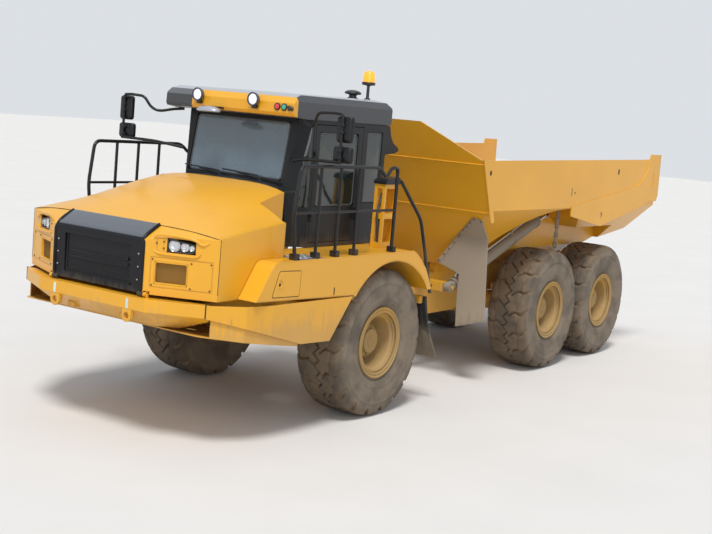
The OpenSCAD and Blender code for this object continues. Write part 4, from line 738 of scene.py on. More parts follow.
def boltRing(centre, side, count, ringRadius, across, radius, height, phase):
    # bolt heads on a circle round the wheel's axis, pointing outwards
    head, faces = hexBolt(radius, height)
    parts = []
    for turn in phase + np.arange(count) * 2 * math.pi / count:
        parts.append((np.stack([centre.x + ringRadius * math.cos(turn) + head[:, 1],
                                centre.y + side * (across + head[:, 0]),
                                centre.z + ringRadius * math.sin(turn) + head[:, 2]], axis=-1),
                      faces if side > 0 else faces[:, ::-1]))
    return joined(parts)


def makeRim(name, centre, side, look):
    # the section turned round the wheel's axis
    section = np.array(rimSection)
    angle = np.arange(look["steps"]) * 2 * math.pi / look["steps"]
    angle, r = np.meshgrid(angle, section[:, 0], indexing="ij")
    y = np.broadcast_to(section[:, 1], angle.shape)
    placePiece(f"wheel_rim_{name}", wheelShape(centre, side, angle, r, y, False),
               "rim_paint", f"wheel_{name}",
               28.0, [f"rim_{name}"])
    bolts = joined([boltRing(centre, side, *row) for row in look["bolts"]])
    placePiece(f"wheel_bolts_{name}", bolts, "rim_paint", f"wheel_{name}", 30.0)


for name, (centre, side) in wheelPlaces.items():
    makeTyre(name, centre, side, tyreLook)
    makeRim(name, centre, side, rimLook)
print("wheels made")

# hood: the node's own shape shaded as one surface, its seams, and the cap over the grille

# crest and side edge as places along the truck and heights there; half is half the hood's width
hoodLook = {
    "middle": [(3.470, 2.455), (3.600, 2.450), (3.900, 2.400), (4.300, 2.306), (4.600, 2.208), (4.865, 2.111),
        (4.955, 2.075)],
    "edge": [(3.470, 2.150), (3.945, 2.118), (4.400, 2.068), (4.858, 2.002), (4.955, 1.990)], "half": 1.250,
    "seamCorner": (4.955, 0.561), "hoodCorner": (4.858, 1.250)
}


def lineOver(x, table):
    return np.interp(x, *np.array(table).T)


def hoodHeight(x, y, look):
    # crown between the side edge and the middle line, flatter across the middle towards the cab
    side, middle = lineOver(x, look["edge"]), lineOver(x, look["middle"])
    power = 2.2 + np.maximum(0.0, 4.3 - x) * 2.3
    return side + (middle - side) * (1.0 - (np.minimum(y, look["half"]) / look["half"]) ** power)


def makeHoodSeams(look):
    # a thin dark line of painted shade along the seam, from the cap's corner to the hood's corner and down its
    # side
    start, end = np.array(look["seamCorner"]), np.array(look["hoodCorner"])
    across = start + (end - start) * np.linspace(0.0, 1.0, 30)[:, None]
    top = np.column_stack([across, hoodHeight(across[:, 0], across[:, 1], look) + 0.0005])
    corner = top[-1] + (0.0, 0.0005, 0.0)
    foot = np.array([corner[0], corner[1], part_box("hood_shell")[0].z + 0.09])
    drop = corner + np.linspace(0.0, 1.0, 12)[:, None] * (foot - corner)
    seams = joined([roundTube(path, 0.0035, 6, 0.6) for path in (top, drop)])
    placePiece("hood_seams", bothSides(seams), "painted_gap_shade", "hood")


capLook = {
    "half": 0.560,
    "profile": [(4.962, 2.064), (4.957, 2.0735), (4.961, 2.0775), (5.040, 2.032), (5.118, 1.9835),
        (5.142, 1.966), (5.1505, 1.957), (5.149, 1.950), (5.120, 1.960), (5.000, 2.030)]
}


def makeCap(look):
    # the side view's outline carried across the truck, its ends turned down
    outline = roundedOutline(look["profile"], 0.010, 3)
    across = np.concatenate([[-1.0, -1.0], np.linspace(-0.985, 0.985, 23), [1.0, 1.0]])
    shrink = np.array([0.55, 0.93] + [1.0] * 23 + [0.93, 0.55])
    middle = outline.mean(axis=0)
    y = np.repeat(across * look["half"], len(outline))
    ring = middle + (outline - middle)[None] * shrink[:, None, None]
    points = np.column_stack([ring[..., 0].ravel(), y, ring[..., 1].ravel()])
    faces = gridFaces(len(across), len(outline), False, True).tolist()
    faces += [list(range(len(outline))), list(range(len(points) - len(outline), len(points)))]
    # the cap's colour carries a painted sheen of the sky
    placePiece("grille_cap", (points, faces), "cap_painted_sheen", "hood", 30.0)


# opening is its width, height and the height of its middle
grilleLook = {
    "opening": (0.886, 0.395, 1.688), "depth": 0.030, "bars": (1.715, 1.655), "trimY": 0.586, "boltY": 0.535,
    "bolts": (1.56, 1.68, 1.80)
}


def makeGrilleTrim(look):
    # a round strip up each side and over the top, a rim round the opening, two bars with a knob on each
    low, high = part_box("grille")
    path = [(high.x - 0.004, 0.0, low.z + 0.03), (high.x + 0.001, 0.0, 1.60), (high.x + 0.002, 0.0, 1.86),
            (high.x - 0.004, 0.0, 1.920), (5.128, 0.0, 1.974), (5.040, 0.0, 2.028), (4.968, 0.0, 2.066)]
    strip = smoothCurve(np.array(path) + (-0.013, look["trimY"], 0.0), 6)
    strip[:, 1] -= 0.012 * smoothStep(strip[:, 2], 1.88, 1.97)
    width, tall, middle = look["opening"]
    face = high.x - look["depth"]
    rim = openFrame(roundedOutline(rectangle(width, tall), 0.05, 5),
                    [(0.0, 0.0), (0.007, 0.0), (0.011, 0.004), (0.011, 0.018), (0.006, 0.022), (0.0, 0.022)])
    parts = [bothSides(roundTube(strip, 0.021, 14, 0.8)),
             mapped(rim, (face, 0.0, middle), sideways, upward, forward)]
    for z in look["bars"]:
        parts.append(roundedBar((face - 0.004, -0.40, z - 0.011), (face + 0.012, 0.36, z + 0.011), 0.005))
        parts.append(turnedShape(roundHead(0.020, 0.014, 0.018, 0.015),
                                 (face, 0.375, z + 0.012), forward, 20))
    placePiece("grille_trim", joined(parts), "grille_black", "hood", 32.0)
    bolts = [turnedShape(roundHead(0.008, 0.004, 0.006, 0.005),
                         (high.x - 0.004, side * look["boltY"], z), forward, 12)
             for side in (-1, 1) for z in look["bolts"]]
    placePiece("grille_bolts", joined(bolts), "steel_bright", "hood", 30.0)


# the swept front corner: where it starts and ends, and the middle and half size of what lies on it
cheekLook = {
    "start": (5.152, 0.612), "end": (4.858, 1.250), "lamp": (0.915, 1.908), "lampHalf": (0.138, 0.066),
    "vent": (0.838, 1.648), "ventHalf": (0.160, 0.104), "panel": (0.928, 1.650),
    "panelBolts": ((-0.278, -0.120), (-0.278, 0.120), (0.278, -0.120), (0.278, 0.120), (0.092, -0.120),
        (0.092, 0.112)), "lampBolts": ((-0.166, 0.030), (-0.166, -0.030), (-0.235, 0.012))
}
# each lamp: place across and up from the body's middle, and radius
lampPlaces = ((-0.068, 0.0, 0.050), (0.032, -0.004, 0.036), (0.098, -0.008, 0.022))


def onCheek(part, place, look):
    (startX, startY), (endX, endY) = look["start"], look["end"]
    x = startX + (place[0] - startY) * (endX - startX) / (endY - startY)
    across = unitRows(np.array([endX - startX, endY - startY, 0.0]))
    out = np.array([across[1], -across[0], 0.0])
    return mapped(part, (x, place[0], place[1]), across, upward, out)


def lampBowl(radius, depth):
    # a parabola from the rim to the middle: depth times the square of the distance
    return [(-depth * (1 - (part / radius) ** 2), part) for part in np.linspace(radius, 0.0, 8)]


def makeHeadlamps(look):
    wide, tall = (half - 0.004 for half in look["lampHalf"])
    outline = roundedOutline([(-wide, -tall), (wide - 0.026, -tall), (wide, -tall + 0.030),
                              (wide, tall - 0.036), (-wide, tall)], 0.018, 5)
    body = stackedPlate(outline, [(-0.060, 0.004), (-0.056, 0.0), (-0.010, 0.0),
                                  (-0.006, 0.004), (-0.006, 0.010), (-0.026, 0.014)])
    placePiece("headlamp_bodies", bothSides(onCheek(body, look["lamp"], look)), "lamp_body",
               "hood", 30.0, ["headlamps"])
    bowls, rings, glasses = [], [], []
    for across, up, radius in lampPlaces:
        axis = ((across, up, -0.012), upward)
        bowls.append(turnedShape([(-0.016, 0.0), (-0.016, radius)] + lampBowl(radius, 0.014), *axis, 32))
        ring = [(-0.014, radius), (0.002, radius + 0.001), (0.004, radius + 0.004), (0.002, radius + 0.006),
                (-0.014, radius + 0.006), (-0.014, radius)]
        rings.append(turnedShape(ring, *axis, 32))
        dome = [(0.0035 * math.cos(t), radius * 0.985 * math.sin(t)) for t in np.linspace(math.pi / 2, 0, 6)]
        glasses.append(turnedShape([(-0.003, 0.0), (-0.003, radius * 0.985)] + dome, *axis, 32))
    for name, parts, finish in (("headlamp_bowls", bowls, "lamp_silver"),
                                ("headlamp_rings", rings, "steel_bright"),
                                ("headlamp_glasses", glasses, "lamp_glass")):
        placePiece(name, bothSides(onCheek(joined(parts), look["lamp"], look)), finish, "hood", 40.0)


def ventWires(half, depths, edge):
    # thin bars across the opening and up it, the upright ones a little further out
    wide, tall = half
    flat, upright = depths
    wires = [roundedBar((-wide + 0.002, z - 0.0011, flat), (wide - 0.002, z + 0.0011, flat + 0.0025), edge)
             for z in np.linspace(-tall + 0.006, tall - 0.006, 30)]
    return wires + [
        roundedBar((x - 0.0011, -tall + 0.002, upright), (x + 0.0011, tall - 0.002, upright + 0.0025), edge)
        for x in np.linspace(-wide + 0.006, wide - 0.006, 34)]


def makeCheeks(look):
    # mesh and frame of each vent, the mesh coloured dark brown as painted shade of its recess, bolts at the
    # panels' corners, brow over and lip under the lamps
    mesh = joined(ventWires(look["ventHalf"], (-0.027, -0.0262), 0.0008))
    placePiece("vent_mesh", bothSides(onCheek(mesh, look["vent"], look)), "vent_mesh_painted_shade",
               "hood", 35.0, ["hood_vents"])
    wide, tall = (2 * half for half in look["ventHalf"])
    rim = openFrame(roundedOutline(rectangle(wide - 0.001, tall - 0.001), 0.022, 5),
                    [(-0.034, 0.0), (0.0015, 0.0), (0.003, 0.003), (0.0015, 0.011),
                     (-0.020, 0.013), (-0.034, 0.013)])
    back = stackedPlate(roundedOutline(rectangle(wide - 0.002, tall - 0.002), 0.02, 3),
                        [(-0.036, 0.0), (-0.034, 0.0)])
    placePiece("vent_frames", bothSides(onCheek(joined([rim, back]), look["vent"], look)),
               "yellow_paint", "hood", 30.0)
    head = roundHead(0.0085, 0.004, 0.0055, 0.006)
    bolts = [onCheek(turnedShape(head, (x, z, 0.0), upward, 10), look[place], look)
             for place, spots in (("panel", "panelBolts"), ("lamp", "lampBolts")) for x, z in look[spots]]
    placePiece("cheek_bolts", bothSides(joined(bolts)), "steel_dark", "hood", 30.0)
    brow = smoothCurve([(-0.262, 0.050, -0.004), (-0.235, 0.084, 0.002), (-0.150, 0.092, 0.006),
                        (0.020, 0.086, 0.009), (0.130, 0.070, 0.009), (0.205, 0.034, 0.004),
                        (0.262, 0.060, -0.006)], 6)
    lip = smoothCurve([(-0.262, -0.058, -0.005), (-0.200, -0.080, 0.004), (0.0, -0.084, 0.008),
                       (0.130, -0.083, 0.008), (0.176, -0.060, 0.004), (0.180, -0.020, -0.006)], 6)
    ridges = joined([roundTube(brow, np.linspace(0.010, 0.016, len(brow)), 12, 0.75),
                     roundTube(lip, 0.011, 12, 0.8)])
    placePiece("lamp_brows", bothSides(onCheek(ridges, look["lamp"], look)), "yellow_paint", "hood", 60.0)


finishPiece("hood_skin", nodes["hood_shell"].data.copy(),
            "hood", 9.0, ["hood_shell"])
makeHoodSeams(hoodLook)
makeCap(capLook)
makeGrilleTrim(grilleLook)
makeHeadlamps(cheekLook)
makeCheeks(cheekLook)
print("hood, grille and headlamps made")

# bumper: pale reflectors over the tow eyes with a faint glow of painted glint, the hood's hinge pins, and dark
# bars of painted shade in the gaps at the joints of its end pieces

bumperLook = {"reflector": (0.486, 1.335), "hinge": (5.140, 0.536, 1.432), "end": (4.954, 1.204)}


def makeBumperDetails(look):
    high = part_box("bumper")[1]
    plate = stackedPlate(roundedOutline(rectangle(0.030, 0.095), 0.004, 2), roundedLevels(0.004, 0.0015))
    plate = mapped(plate, (high.x - 0.0005, *look["reflector"]), sideways, upward, forward)
    placePiece("bumper_reflectors", bothSides(plate), "reflector_painted_glint", "front_unit", 30.0)
    pin = [(0, 0), (0, 0.020), (0.004, 0.0265), (0.069, 0.0265), (0.073, 0.022), (0.073, 0)]
    placePiece("hood_hinge_pins", bothSides(turnedShape(pin, look["hinge"], sideways, 24)), "black_paint",
               "front_unit", 30.0)
    x, y = look["end"]
    # a dark bar of painted shade in the gap at each end piece's joint
    gap = roundedBar((x - 0.010, y - 0.004, 1.285), (x + 0.0025, y + 0.0035, high.z - 0.028), 0.001)
    placePiece("bumper_joints", bothSides(gap), "painted_gap_shade", "front_unit", 30.0)


makeBumperDetails(bumperLook)
print("bumper details made")

# cab: panes in their seals, seat and dash, roof gear, mirrors

rearward, rightward = (-1.0, 0.0, 0.0), (0.0, -1.0, 0.0)
screenSlope = unitRows(np.array([-0.110, 0.0, 0.666]))
# each pane: middle of its outer face, direction across it and up it, half width, half height, corner
frontPane = ((3.2228, 0.0, 2.786), sideways, screenSlope, 0.638, 0.306, 0.055)
doorPane = ((2.590, 0.834, 2.620), rearward, upward, 0.347, 0.387, 0.060)
darkPanes = [
    ((2.595, -0.834, 2.640), forward, upward, 0.361, 0.396, 0.055),
    ((1.920, 0.834, 2.650), rearward, upward, 0.146, 0.386, 0.035),
    ((1.920, -0.834, 2.650), forward, upward, 0.146, 0.386, 0.035),
    ((1.716, 0.0, 2.670), rightward, upward, 0.596, 0.366, 0.055)
]


def paneParts(pane):
    # a slightly crowned sheet and the rounded lip of rubber that holds its edge
    middle, across, up, half, tall, corner = pane
    outline = roundedOutline(rectangle(2 * half, 2 * tall), corner, 7)
    sheet = crownedPlate(outline, [(-0.006, 0.0), (0.0, 0.0)], 0.005)
    lip = openFrame(outline, [(-0.008, -0.002), (0.004, -0.002), (0.007, 0.004),
                              (0.006, 0.014), (0.001, 0.018), (-0.008, 0.018)])
    out = np.cross(across, up)
    return [mapped(part, middle, across, up, out) for part in (sheet, lip)]


def cheekPane():
    # the narrow pane on the slanted front corner of the cab, in front of the door
    outline = roundedOutline([(-0.012, -0.42), (0.092, -0.42), (0.070, 0.10), (0.010, 0.42), (-0.012, 0.42)],
                             0.018, 5)
    plate = stackedPlate(outline, [(-0.002, 0.0), (0.002, 0.0), (0.003, 0.002)])
    return mapped(plate, (3.070, 0.835, 2.640), (0.8, -0.6, 0.0), upward, (0.6, 0.8, 0.0))


frontSheet, frontLip = paneParts(frontPane)
doorSheet, doorLip = paneParts(doorPane)
darkSheets, darkLips = zip(*[paneParts(pane) for pane in darkPanes])
placePiece("windshield", frontSheet, "screen_glass", "front_unit", 30.0, ["cab_glass"])
placePiece("side_panes", joined([*darkSheets, bothSides(cheekPane())]), "tinted_glass", "front_unit", 30.0)
placePiece("pane_lips", joined(darkLips), "pane_rubber", "front_unit", 50.0)
placePiece("screen_lip", frontLip, "pane_rubber", "front_unit", 50.0)
placePiece("door_pane", doorSheet, "tinted_glass", "door", 30.0, ["door_glass"])
placePiece("door_lip", doorLip, "pane_rubber", "door", 50.0)
print("panes made")


def padded(width, length, height, crown, edge=0.035):
    # an outline with rounded sides drawn in towards the top, where it rises to the crown
    outline = roundedOutline(rectangle(width, length), 0.09, 8)
    outline = outline * (1 - 0.035 * np.abs(np.sin(2 * np.arctan2(outline[:, 1], outline[:, 0]))))[:, None]
    return crownedPlate(outline, roundedLevels(height, edge), crown)


def piping(width, length, height, plane):
    outline = roundedOutline(rectangle(width, length), 0.09, 8)
    ring = np.column_stack([outline, np.full(len(outline), height)])
    return mapped(roundTube(np.concatenate([ring, ring[:1]]), 0.006, 8), *plane)


# planes: middle, direction across, up and outwards; cushions: width, length, height, crown, edge
backLean = unitRows(np.array([-0.105, 0.0, 0.80]))
backOut = np.cross(sideways, backLean)
seatLook = {
    "seat": ((2.350, 0.0, 2.120), forward, sideways, upward), "seatSize": (0.50, 0.50, 0.085, 0.022),
    "back": ((2.190, 0.0, 2.520), sideways, backLean, backOut), "backSize": (0.46, 0.60, 0.075, 0.022),
    "head": ((2.122, 0.0, 2.900), sideways, backLean, backOut), "headSize": (0.26, 0.16, 0.060, 0.012, 0.025),
    "base": (((2.150, -0.170, 1.868), (2.520, 0.170, 1.950), 0.02),
        ((2.190, -0.140, 1.945), (2.480, 0.140, 2.060), 0.03),
        ((2.130, -0.240, 2.055), (2.580, 0.240, 2.120), 0.03)), "armY": 0.290
}


def makeSeat(look):
    # three cushions, the seat's foot and its arms
    cushions = [mapped(padded(*look[name + "Size"]), *look[name]) for name in ("seat", "back", "head")]
    placePiece("seat_cushions", joined(cushions), "seat_trim", "front_unit", 60.0, ["cab_seat"])
    seams = [piping(0.486, 0.486, 0.072, look["seat"]), piping(0.446, 0.586, 0.062, look["back"])]
    placePiece("seat_piping", joined(seams), "lamp_body", "front_unit", 60.0)
    arm = stackedPlate(roundedOutline(rectangle(0.30, 0.07), 0.03, 4), roundedLevels(0.05, 0.015))
    return [roundedBar(*bar) for bar in look["base"]] + [
        mapped(arm, (2.360, side * look["armY"] - 0.025, 2.330), forward, upward, sideways)
        for side in (-1, 1)]


dashLook = {
    "outline": [(2.960, 1.875), (3.150, 1.875), (3.205, 2.400), (3.190, 2.448), (3.080, 2.474),
        (2.990, 2.440), (2.925, 2.370)], "half": 0.610,
    "column": ([(3.000, 0.0, 2.380), (2.900, 0.0, 2.458), (2.815, 0.0, 2.524)], [0.045, 0.034, 0.028]),
    "hub": (2.800, 0.0, 2.536), "axis": (-0.616, 0.0, 0.788), "across": (0.788, 0.0, 0.616),
    "rimRadius": 0.201, "rimThick": 0.015, "spokes": (90.0, 210.0, 330.0)
}


def makeDash(look):
    # the dash's side view carried across the cab, the column, and the steering wheel with three spokes
    hub, across = np.array(look["hub"]), np.array(look["across"])
    edges = roundedLevels(2 * look["half"], 0.03, -look["half"])
    path, radii = look["column"]
    turn = np.linspace(0, 2 * math.pi, 13)
    rim = np.column_stack([look["rimThick"] * np.cos(turn),
                           look["rimRadius"] + look["rimThick"] * np.sin(turn)])
    middle = [(-0.012, 0), (-0.012, 0.046), (0.004, 0.050), (0.012, 0.040), (0.014, 0)]
    body = stackedPlate(roundedOutline(look["outline"], 0.03, 3), edges)
    parts = [mapped(body, (0, 0, 0), forward, upward, sideways), roundTube(path, np.array(radii), 20),
             turnedShape(rim, hub, look["axis"], 48), turnedShape(middle, hub, look["axis"], 28)]
    for spoke in np.radians(look["spokes"]):
        reach = math.cos(spoke) * across + math.sin(spoke) * np.array(sideways)
        parts.append(roundTube([hub + reach * s for s in (0.03, 0.10, 0.195)],
                               np.array([0.018, 0.014, 0.011]), 10, 0.6))
    return parts


placePiece("seat_frame", joined(makeSeat(seatLook) + makeDash(dashLook)), "seat_trim", "front_unit", 40.0)
mirrorLeaf = roundedOutline([(0.080, 2.960), (0.150, 2.966), (0.240, 2.948), (0.318, 2.930), (0.345, 2.900),
                             (0.335, 2.852), (0.270, 2.846), (0.180, 2.872), (0.105, 2.912)], 0.03, 4)
mirrorLeaf = mapped(stackedPlate(mirrorLeaf, roundedLevels(0.032, 0.012)), (3.090, 0.0, 0.0),
                    sideways, upward, forward)
mirrorStem = roundTube([(3.120, 0.100, 3.080), (3.116, 0.130, 3.010), (3.110, 0.170, 2.950)], 0.008, 10)
placePiece("inner_mirror", joined([mirrorLeaf, mirrorStem]), "lamp_body", "front_unit", 40.0)
print("seat and dash made")

# roof gear: two work lamps, red and green signal lamps, beacon, air intake
# a profile is pairs of distance along the piece's axis and radius there

roofLook = {
    "lamps": (3.456, 0.377, 3.290), "signals": ((0.660, "lamp_red"), (0.748, "lamp_green")), "signalZ": 3.236,
    "beacon": (2.000, 0.752, 3.392), "intake": (1.980, 0.540, 3.392),
    "housing": [(-0.01, 0), (-0.01, 0.040), (0.012, 0.058), (0.030, 0.067), (0.056, 0.070), (0.064, 0.070),
        (0.067, 0.065), (0.064, 0.058), (0.052, 0.056), (0.052, 0)],
    "lens": [(0.050, 0), (0.050, 0.055), (0.056, 0.055), (0.061, 0.045), (0.065, 0.024), (0.066, 0)],
    "signalCup": [(-0.006, 0), (-0.006, 0.037), (0.010, 0.037), (0.014, 0.033), (0.012, 0.028),
        (0.006, 0.027), (0.006, 0)],
    "signalLens": [(0.004, 0), (0.004, 0.028), (0.013, 0.026), (0.020, 0.016), (0.022, 0)],
    "beaconFoot": [(0, 0), (0, 0.034), (0.010, 0.034), (0.016, 0.020), (0.030, 0.017), (0.148, 0.016),
        (0.154, 0.040), (0.158, 0.073), (0.182, 0.076), (0.190, 0.070), (0.192, 0)],
    "beaconDome": [(0.188, 0.0), (0.188, 0.066), (0.196, 0.067), (0.240, 0.066), (0.280, 0.062),
        (0.300, 0.050), (0.311, 0.030), (0.315, 0.0)], "domeRibs": 24,
    "intakeCap": [(0, 0), (0, 0.060), (0.008, 0.060), (0.012, 0.044), (0.034, 0.042), (0.040, 0.050),
        (0.046, 0.088), (0.056, 0.095), (0.070, 0.090), (0.084, 0.066), (0.092, 0.030), (0.094, 0)]
}


def ribbedDome(place, profile, ribs):
    # a turned profile whose radius waves by 1.2% as often as there are ribs
    turn = np.arange(4 * ribs) * 2 * math.pi / (4 * ribs)
    height, radius = np.array(profile).T
    reach = radius[:, None] * (1 + 0.012 * np.cos(ribs * turn))
    rise = np.broadcast_to(height[:, None], reach.shape)
    points = np.stack([reach * np.cos(turn), reach * np.sin(turn), rise], axis=-1) + place
    return points, gridFaces(len(profile), len(turn), False, True)


def makeRoofGear(look):
    x, y, z = look["lamps"]
    places = [(x, side * y, z) for side in (-1, 1)]
    placePiece("work_lamps", joined([turnedShape(look["housing"], place, forward, 40) for place in places]),
               "housing_blue", "front_unit", 35.0, ["roof_lamps"])
    placePiece("work_lenses", joined([turnedShape(look["lens"], place, forward, 40) for place in places]),
               "lens_white", "front_unit", 35.0)
    feet = [roundedBar((x - 0.004, y - 0.028, z - 0.094), (x + 0.036, y + 0.028, z - 0.052), 0.006)
            for x, y, z in places]
    for y, finish in look["signals"]:
        place = (x, y, look["signalZ"])
        feet.append(turnedShape(look["signalCup"], place, forward, 32))
        placePiece(f"signal_{finish}", turnedShape(look["signalLens"], place, forward, 32),
                   finish, "front_unit", 40.0)
    feet.append(roundedBar((x - 0.01, 0.806, 3.205), (x + 0.022, 0.866, 3.232), 0.006))
    feet.append(roundTube([(x + 0.012, 0.800, 3.236), (x + 0.020, 0.830, 3.250), (x + 0.010, 0.868, 3.230)],
                          0.009, 10))
    feet.append(turnedShape(look["beaconFoot"], look["beacon"], upward, 36))
    placePiece("beacon_dome", ribbedDome(look["beacon"], look["beaconDome"], look["domeRibs"]), "lamp_amber",
               "front_unit", 60.0)
    feet.append(turnedShape(look["intakeCap"], look["intake"], upward, 40))
    placePiece("roof_fittings", joined(feet), "lamp_body", "front_unit", 35.0)


makeRoofGear(roofLook)

# heads: middle, width, height; the glass looks to the rear; each arm runs through its points
mirrorLook = {
    "heads": (((3.430, 1.490, 3.075), 0.185, 0.265), ((3.420, 1.480, 2.825), 0.225, 0.165)), "armX": 3.462,
    "upperArm": [(3.235, 0.800, 3.120), (3.300, 0.900, 3.105), (3.370, 1.040, 3.075), (3.420, 1.120, 3.110),
        (3.462, 1.190, 3.205), (3.462, 1.300, 3.222), (3.462, 1.440, 3.222), (3.462, 1.486, 3.190),
        (3.462, 1.486, 2.960), (3.462, 1.486, 2.735)],
    "lowerArm": [(3.262, 0.760, 2.700), (3.330, 0.900, 2.722), (3.400, 1.060, 2.742), (3.462, 1.200, 2.748),
        (3.462, 1.420, 2.748), (3.462, 1.500, 2.748)],
    "dish": [(0.0, 0.0), (0.0, 0.085), (0.010, 0.100), (0.026, 0.098), (0.046, 0.080),
        (0.060, 0.048), (0.066, 0.0)], "dishPlace": (3.545, -0.178, 3.118), "dishStretch": (0.85, 1.52, 0.95),
    "dishArm": [(3.440, -0.060, 3.165), (3.500, -0.080, 3.172), (3.540, -0.140, 3.160)]
}


def bentTube(path, steps, radius, sides):
    return roundTube(smoothCurve(path, steps), radius, sides)


def makeMirrors(look):
    # two heads on each side with clamps on their arms, and a wide dish at the middle of the roof's front
    shells, glasses, arms = [], [], []
    for place, wide, tall in look["heads"]:
        outline = roundedOutline(rectangle(wide, tall), 0.040, 6)
        levels = [(-0.040, 0.006), (-0.036, 0.0), (-0.012, 0.0), (0.002, 0.006), (0.012, 0.018)]
        shells.append(mapped(crownedPlate(outline, levels, 0.014), place, sideways, upward, forward))
        glass = stackedPlate(insetRing(outline, 0.010), [(-0.042, 0.001), (-0.039, 0.0)])
        glasses.append(mapped(glass, place, sideways, upward, forward))
        for step in (-0.035, 0.035):
            clamp = np.array([look["armX"], place[1], place[2] + step])
            arms.append(roundedBar(clamp - (0.020, 0.030, 0.012), clamp + (0.020, 0.030, 0.012), 0.004))
    arms += [bentTube(look[name], 6, 0.0155, 12) for name in ("upperArm", "lowerArm")]
    placePiece("mirror_shells", bothSides(joined(shells)), "black_paint", "front_unit", 35.0, ["mirrors"])
    placePiece("mirror_glasses", bothSides(joined(glasses)), "mirror_glass", "front_unit", 35.0)
    points, faces = turnedShape(look["dish"], (0, 0, 0), upward, 44)
    placePiece("front_mirror", (points * look["dishStretch"] + look["dishPlace"], faces),
               "dish_grey", "front_unit", 40.0)
    arms = [bothSides(joined(arms)), bentTube(look["dishArm"], 6, 0.010, 10)]
    placePiece("mirror_arms", joined(arms), "black_paint", "front_unit", 40.0)


makeMirrors(mirrorLook)
print("roof gear and mirrors made")

# fenders, mud guards, dump cylinders, cabinet and tail details


def shifted(outline, x, y):
    return [(x + a, y + b) for a, b in outline]


def boltLine(path, spacing, radius, height):
    # bolt heads at even steps along a line in the sheet's own plane, standing on it
    path = np.asarray(path, float)
    reach = np.concatenate([[0.0], np.cumsum(np.linalg.norm(np.diff(path, axis=0), axis=1))])
    head, faces = hexBolt(radius, height)
    parts = []
    for step in np.linspace(0.0, reach[-1], int(round(reach[-1] / spacing)) + 1):
        x, y = (np.interp(step, reach, path[:, axis]) for axis in (0, 1))
        parts.append((np.column_stack([x + head[:, 1], y + head[:, 2], head[:, 0]]), faces))
    return joined(parts)


# outline runs from the side sheet's front corner over its top to the rear corner; the wheel arch closes it
fenderLook = {
    "archBack": 0.040, "archGap": 0.102,
    "hatch": [(3.930, 1.462), (4.345, 1.476), (4.252, 1.716), (3.926, 1.703)], "ring": (4.240, 1.597),
    "slot": (3.350, 1.465), "frontFoot": (3.006, 1.4035),
    "outline": [(4.558, 1.4525), (4.530, 1.488), (4.362, 1.732), (4.324, 1.773), (4.258, 1.795),
        (1.903, 1.795), (1.848, 1.772), (1.728, 1.692), (1.610, 1.573), (1.520, 1.440)]
}


def makeFenderPanels(look):
    # the side sheet follows the wheel arch, with the hatch and its ring on it
    centre = wheelPlaces["front_left"][0]
    low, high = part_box("tyre_front_left")
    reach = (high.z - low.z) / 2 + look["archGap"]
    turn = np.radians(np.arange(138.0, 43.0, -4.0))
    arch = np.column_stack([centre.x - look["archBack"] + reach * np.cos(turn),
                            centre.z + reach * np.sin(turn)])
    outline = look["outline"] + arch.tolist() + [look["frontFoot"]]
    plane = ((0.0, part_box("fender_left")[1].y - 0.0005, 0.0), forward, upward, sideways)
    placePiece("fender_panels", bothSides(mapped(flatSheet(outline, 0.0025, 0.001), *plane)), "yellow_paint",
               "front_unit", 30.0)
    x, z = look["ring"]
    hatch = roundedOutline(look["hatch"], 0.020, 4)
    slot = roundedOutline(shifted(rectangle(0.018, 0.078), *look["slot"]), 0.008, 3)
    hole = roundedOutline(shifted(rectangle(0.030, 0.034), x + 0.006, z - 0.006), 0.014, 3)
    # dark sheets of painted shade round the hatch's edge, in the slot and in the hole by the ring
    dark = [flatSheet(insetRing(hatch, -0.007), 0.0034, 0.0005), flatSheet(slot, 0.0034, 0.0005),
            flatSheet(hole, 0.0080, 0.001)]
    placePiece("fender_gaps", bothSides(mapped(joined(dark), *plane)), "painted_gap_shade", "front_unit", 30.0)
    turn = np.linspace(-1.9, 1.9, 15)
    ring = np.column_stack([x - 0.036 * np.cos(turn), z + 0.040 * np.sin(turn), np.full(15, 0.0085)])
    lid = [flatSheet(hatch, 0.0070, 0.002), roundTube(ring, 0.006, 8)]
    placePiece("fender_hatches", bothSides(mapped(joined(lid), *plane)), "yellow_paint", "front_unit", 30.0)


deckLook = {
    "low": (3.500, 1.150), "high": (3.900, 1.440), "floor": 1.7995, "top": 1.8035, "step": 0.040,
    "slant": math.sqrt(0.5)
}


def makeDeckPlates(look):
    # bright tread plate on the deck: bars of alternating direction on a thin sheet
    low, high, slant = look["low"], look["high"], look["slant"]
    parts = [roundedBar((*low, look["floor"]), (*high, look["top"]), 0.0015)]
    tread = roundedBar((-0.014, -0.004, 0.0), (0.014, 0.004, 0.003), 0.0014)
    for i, x in enumerate(np.arange(low[0] + 0.03, high[0] - 0.02, look["step"])):
        for j, y in enumerate(np.arange(low[1] + 0.03, high[1] - 0.02, look["step"])):
            lean = slant if (i + j) % 2 else -slant
            place = (x, y, look["top"] - 0.0005)
            parts.append(mapped(tread, place, (slant, lean, 0), (-lean, slant, 0), upward))
    placePiece("deck_plates", bothSides(joined(parts)), "steel_bright", "front_unit", 30.0)


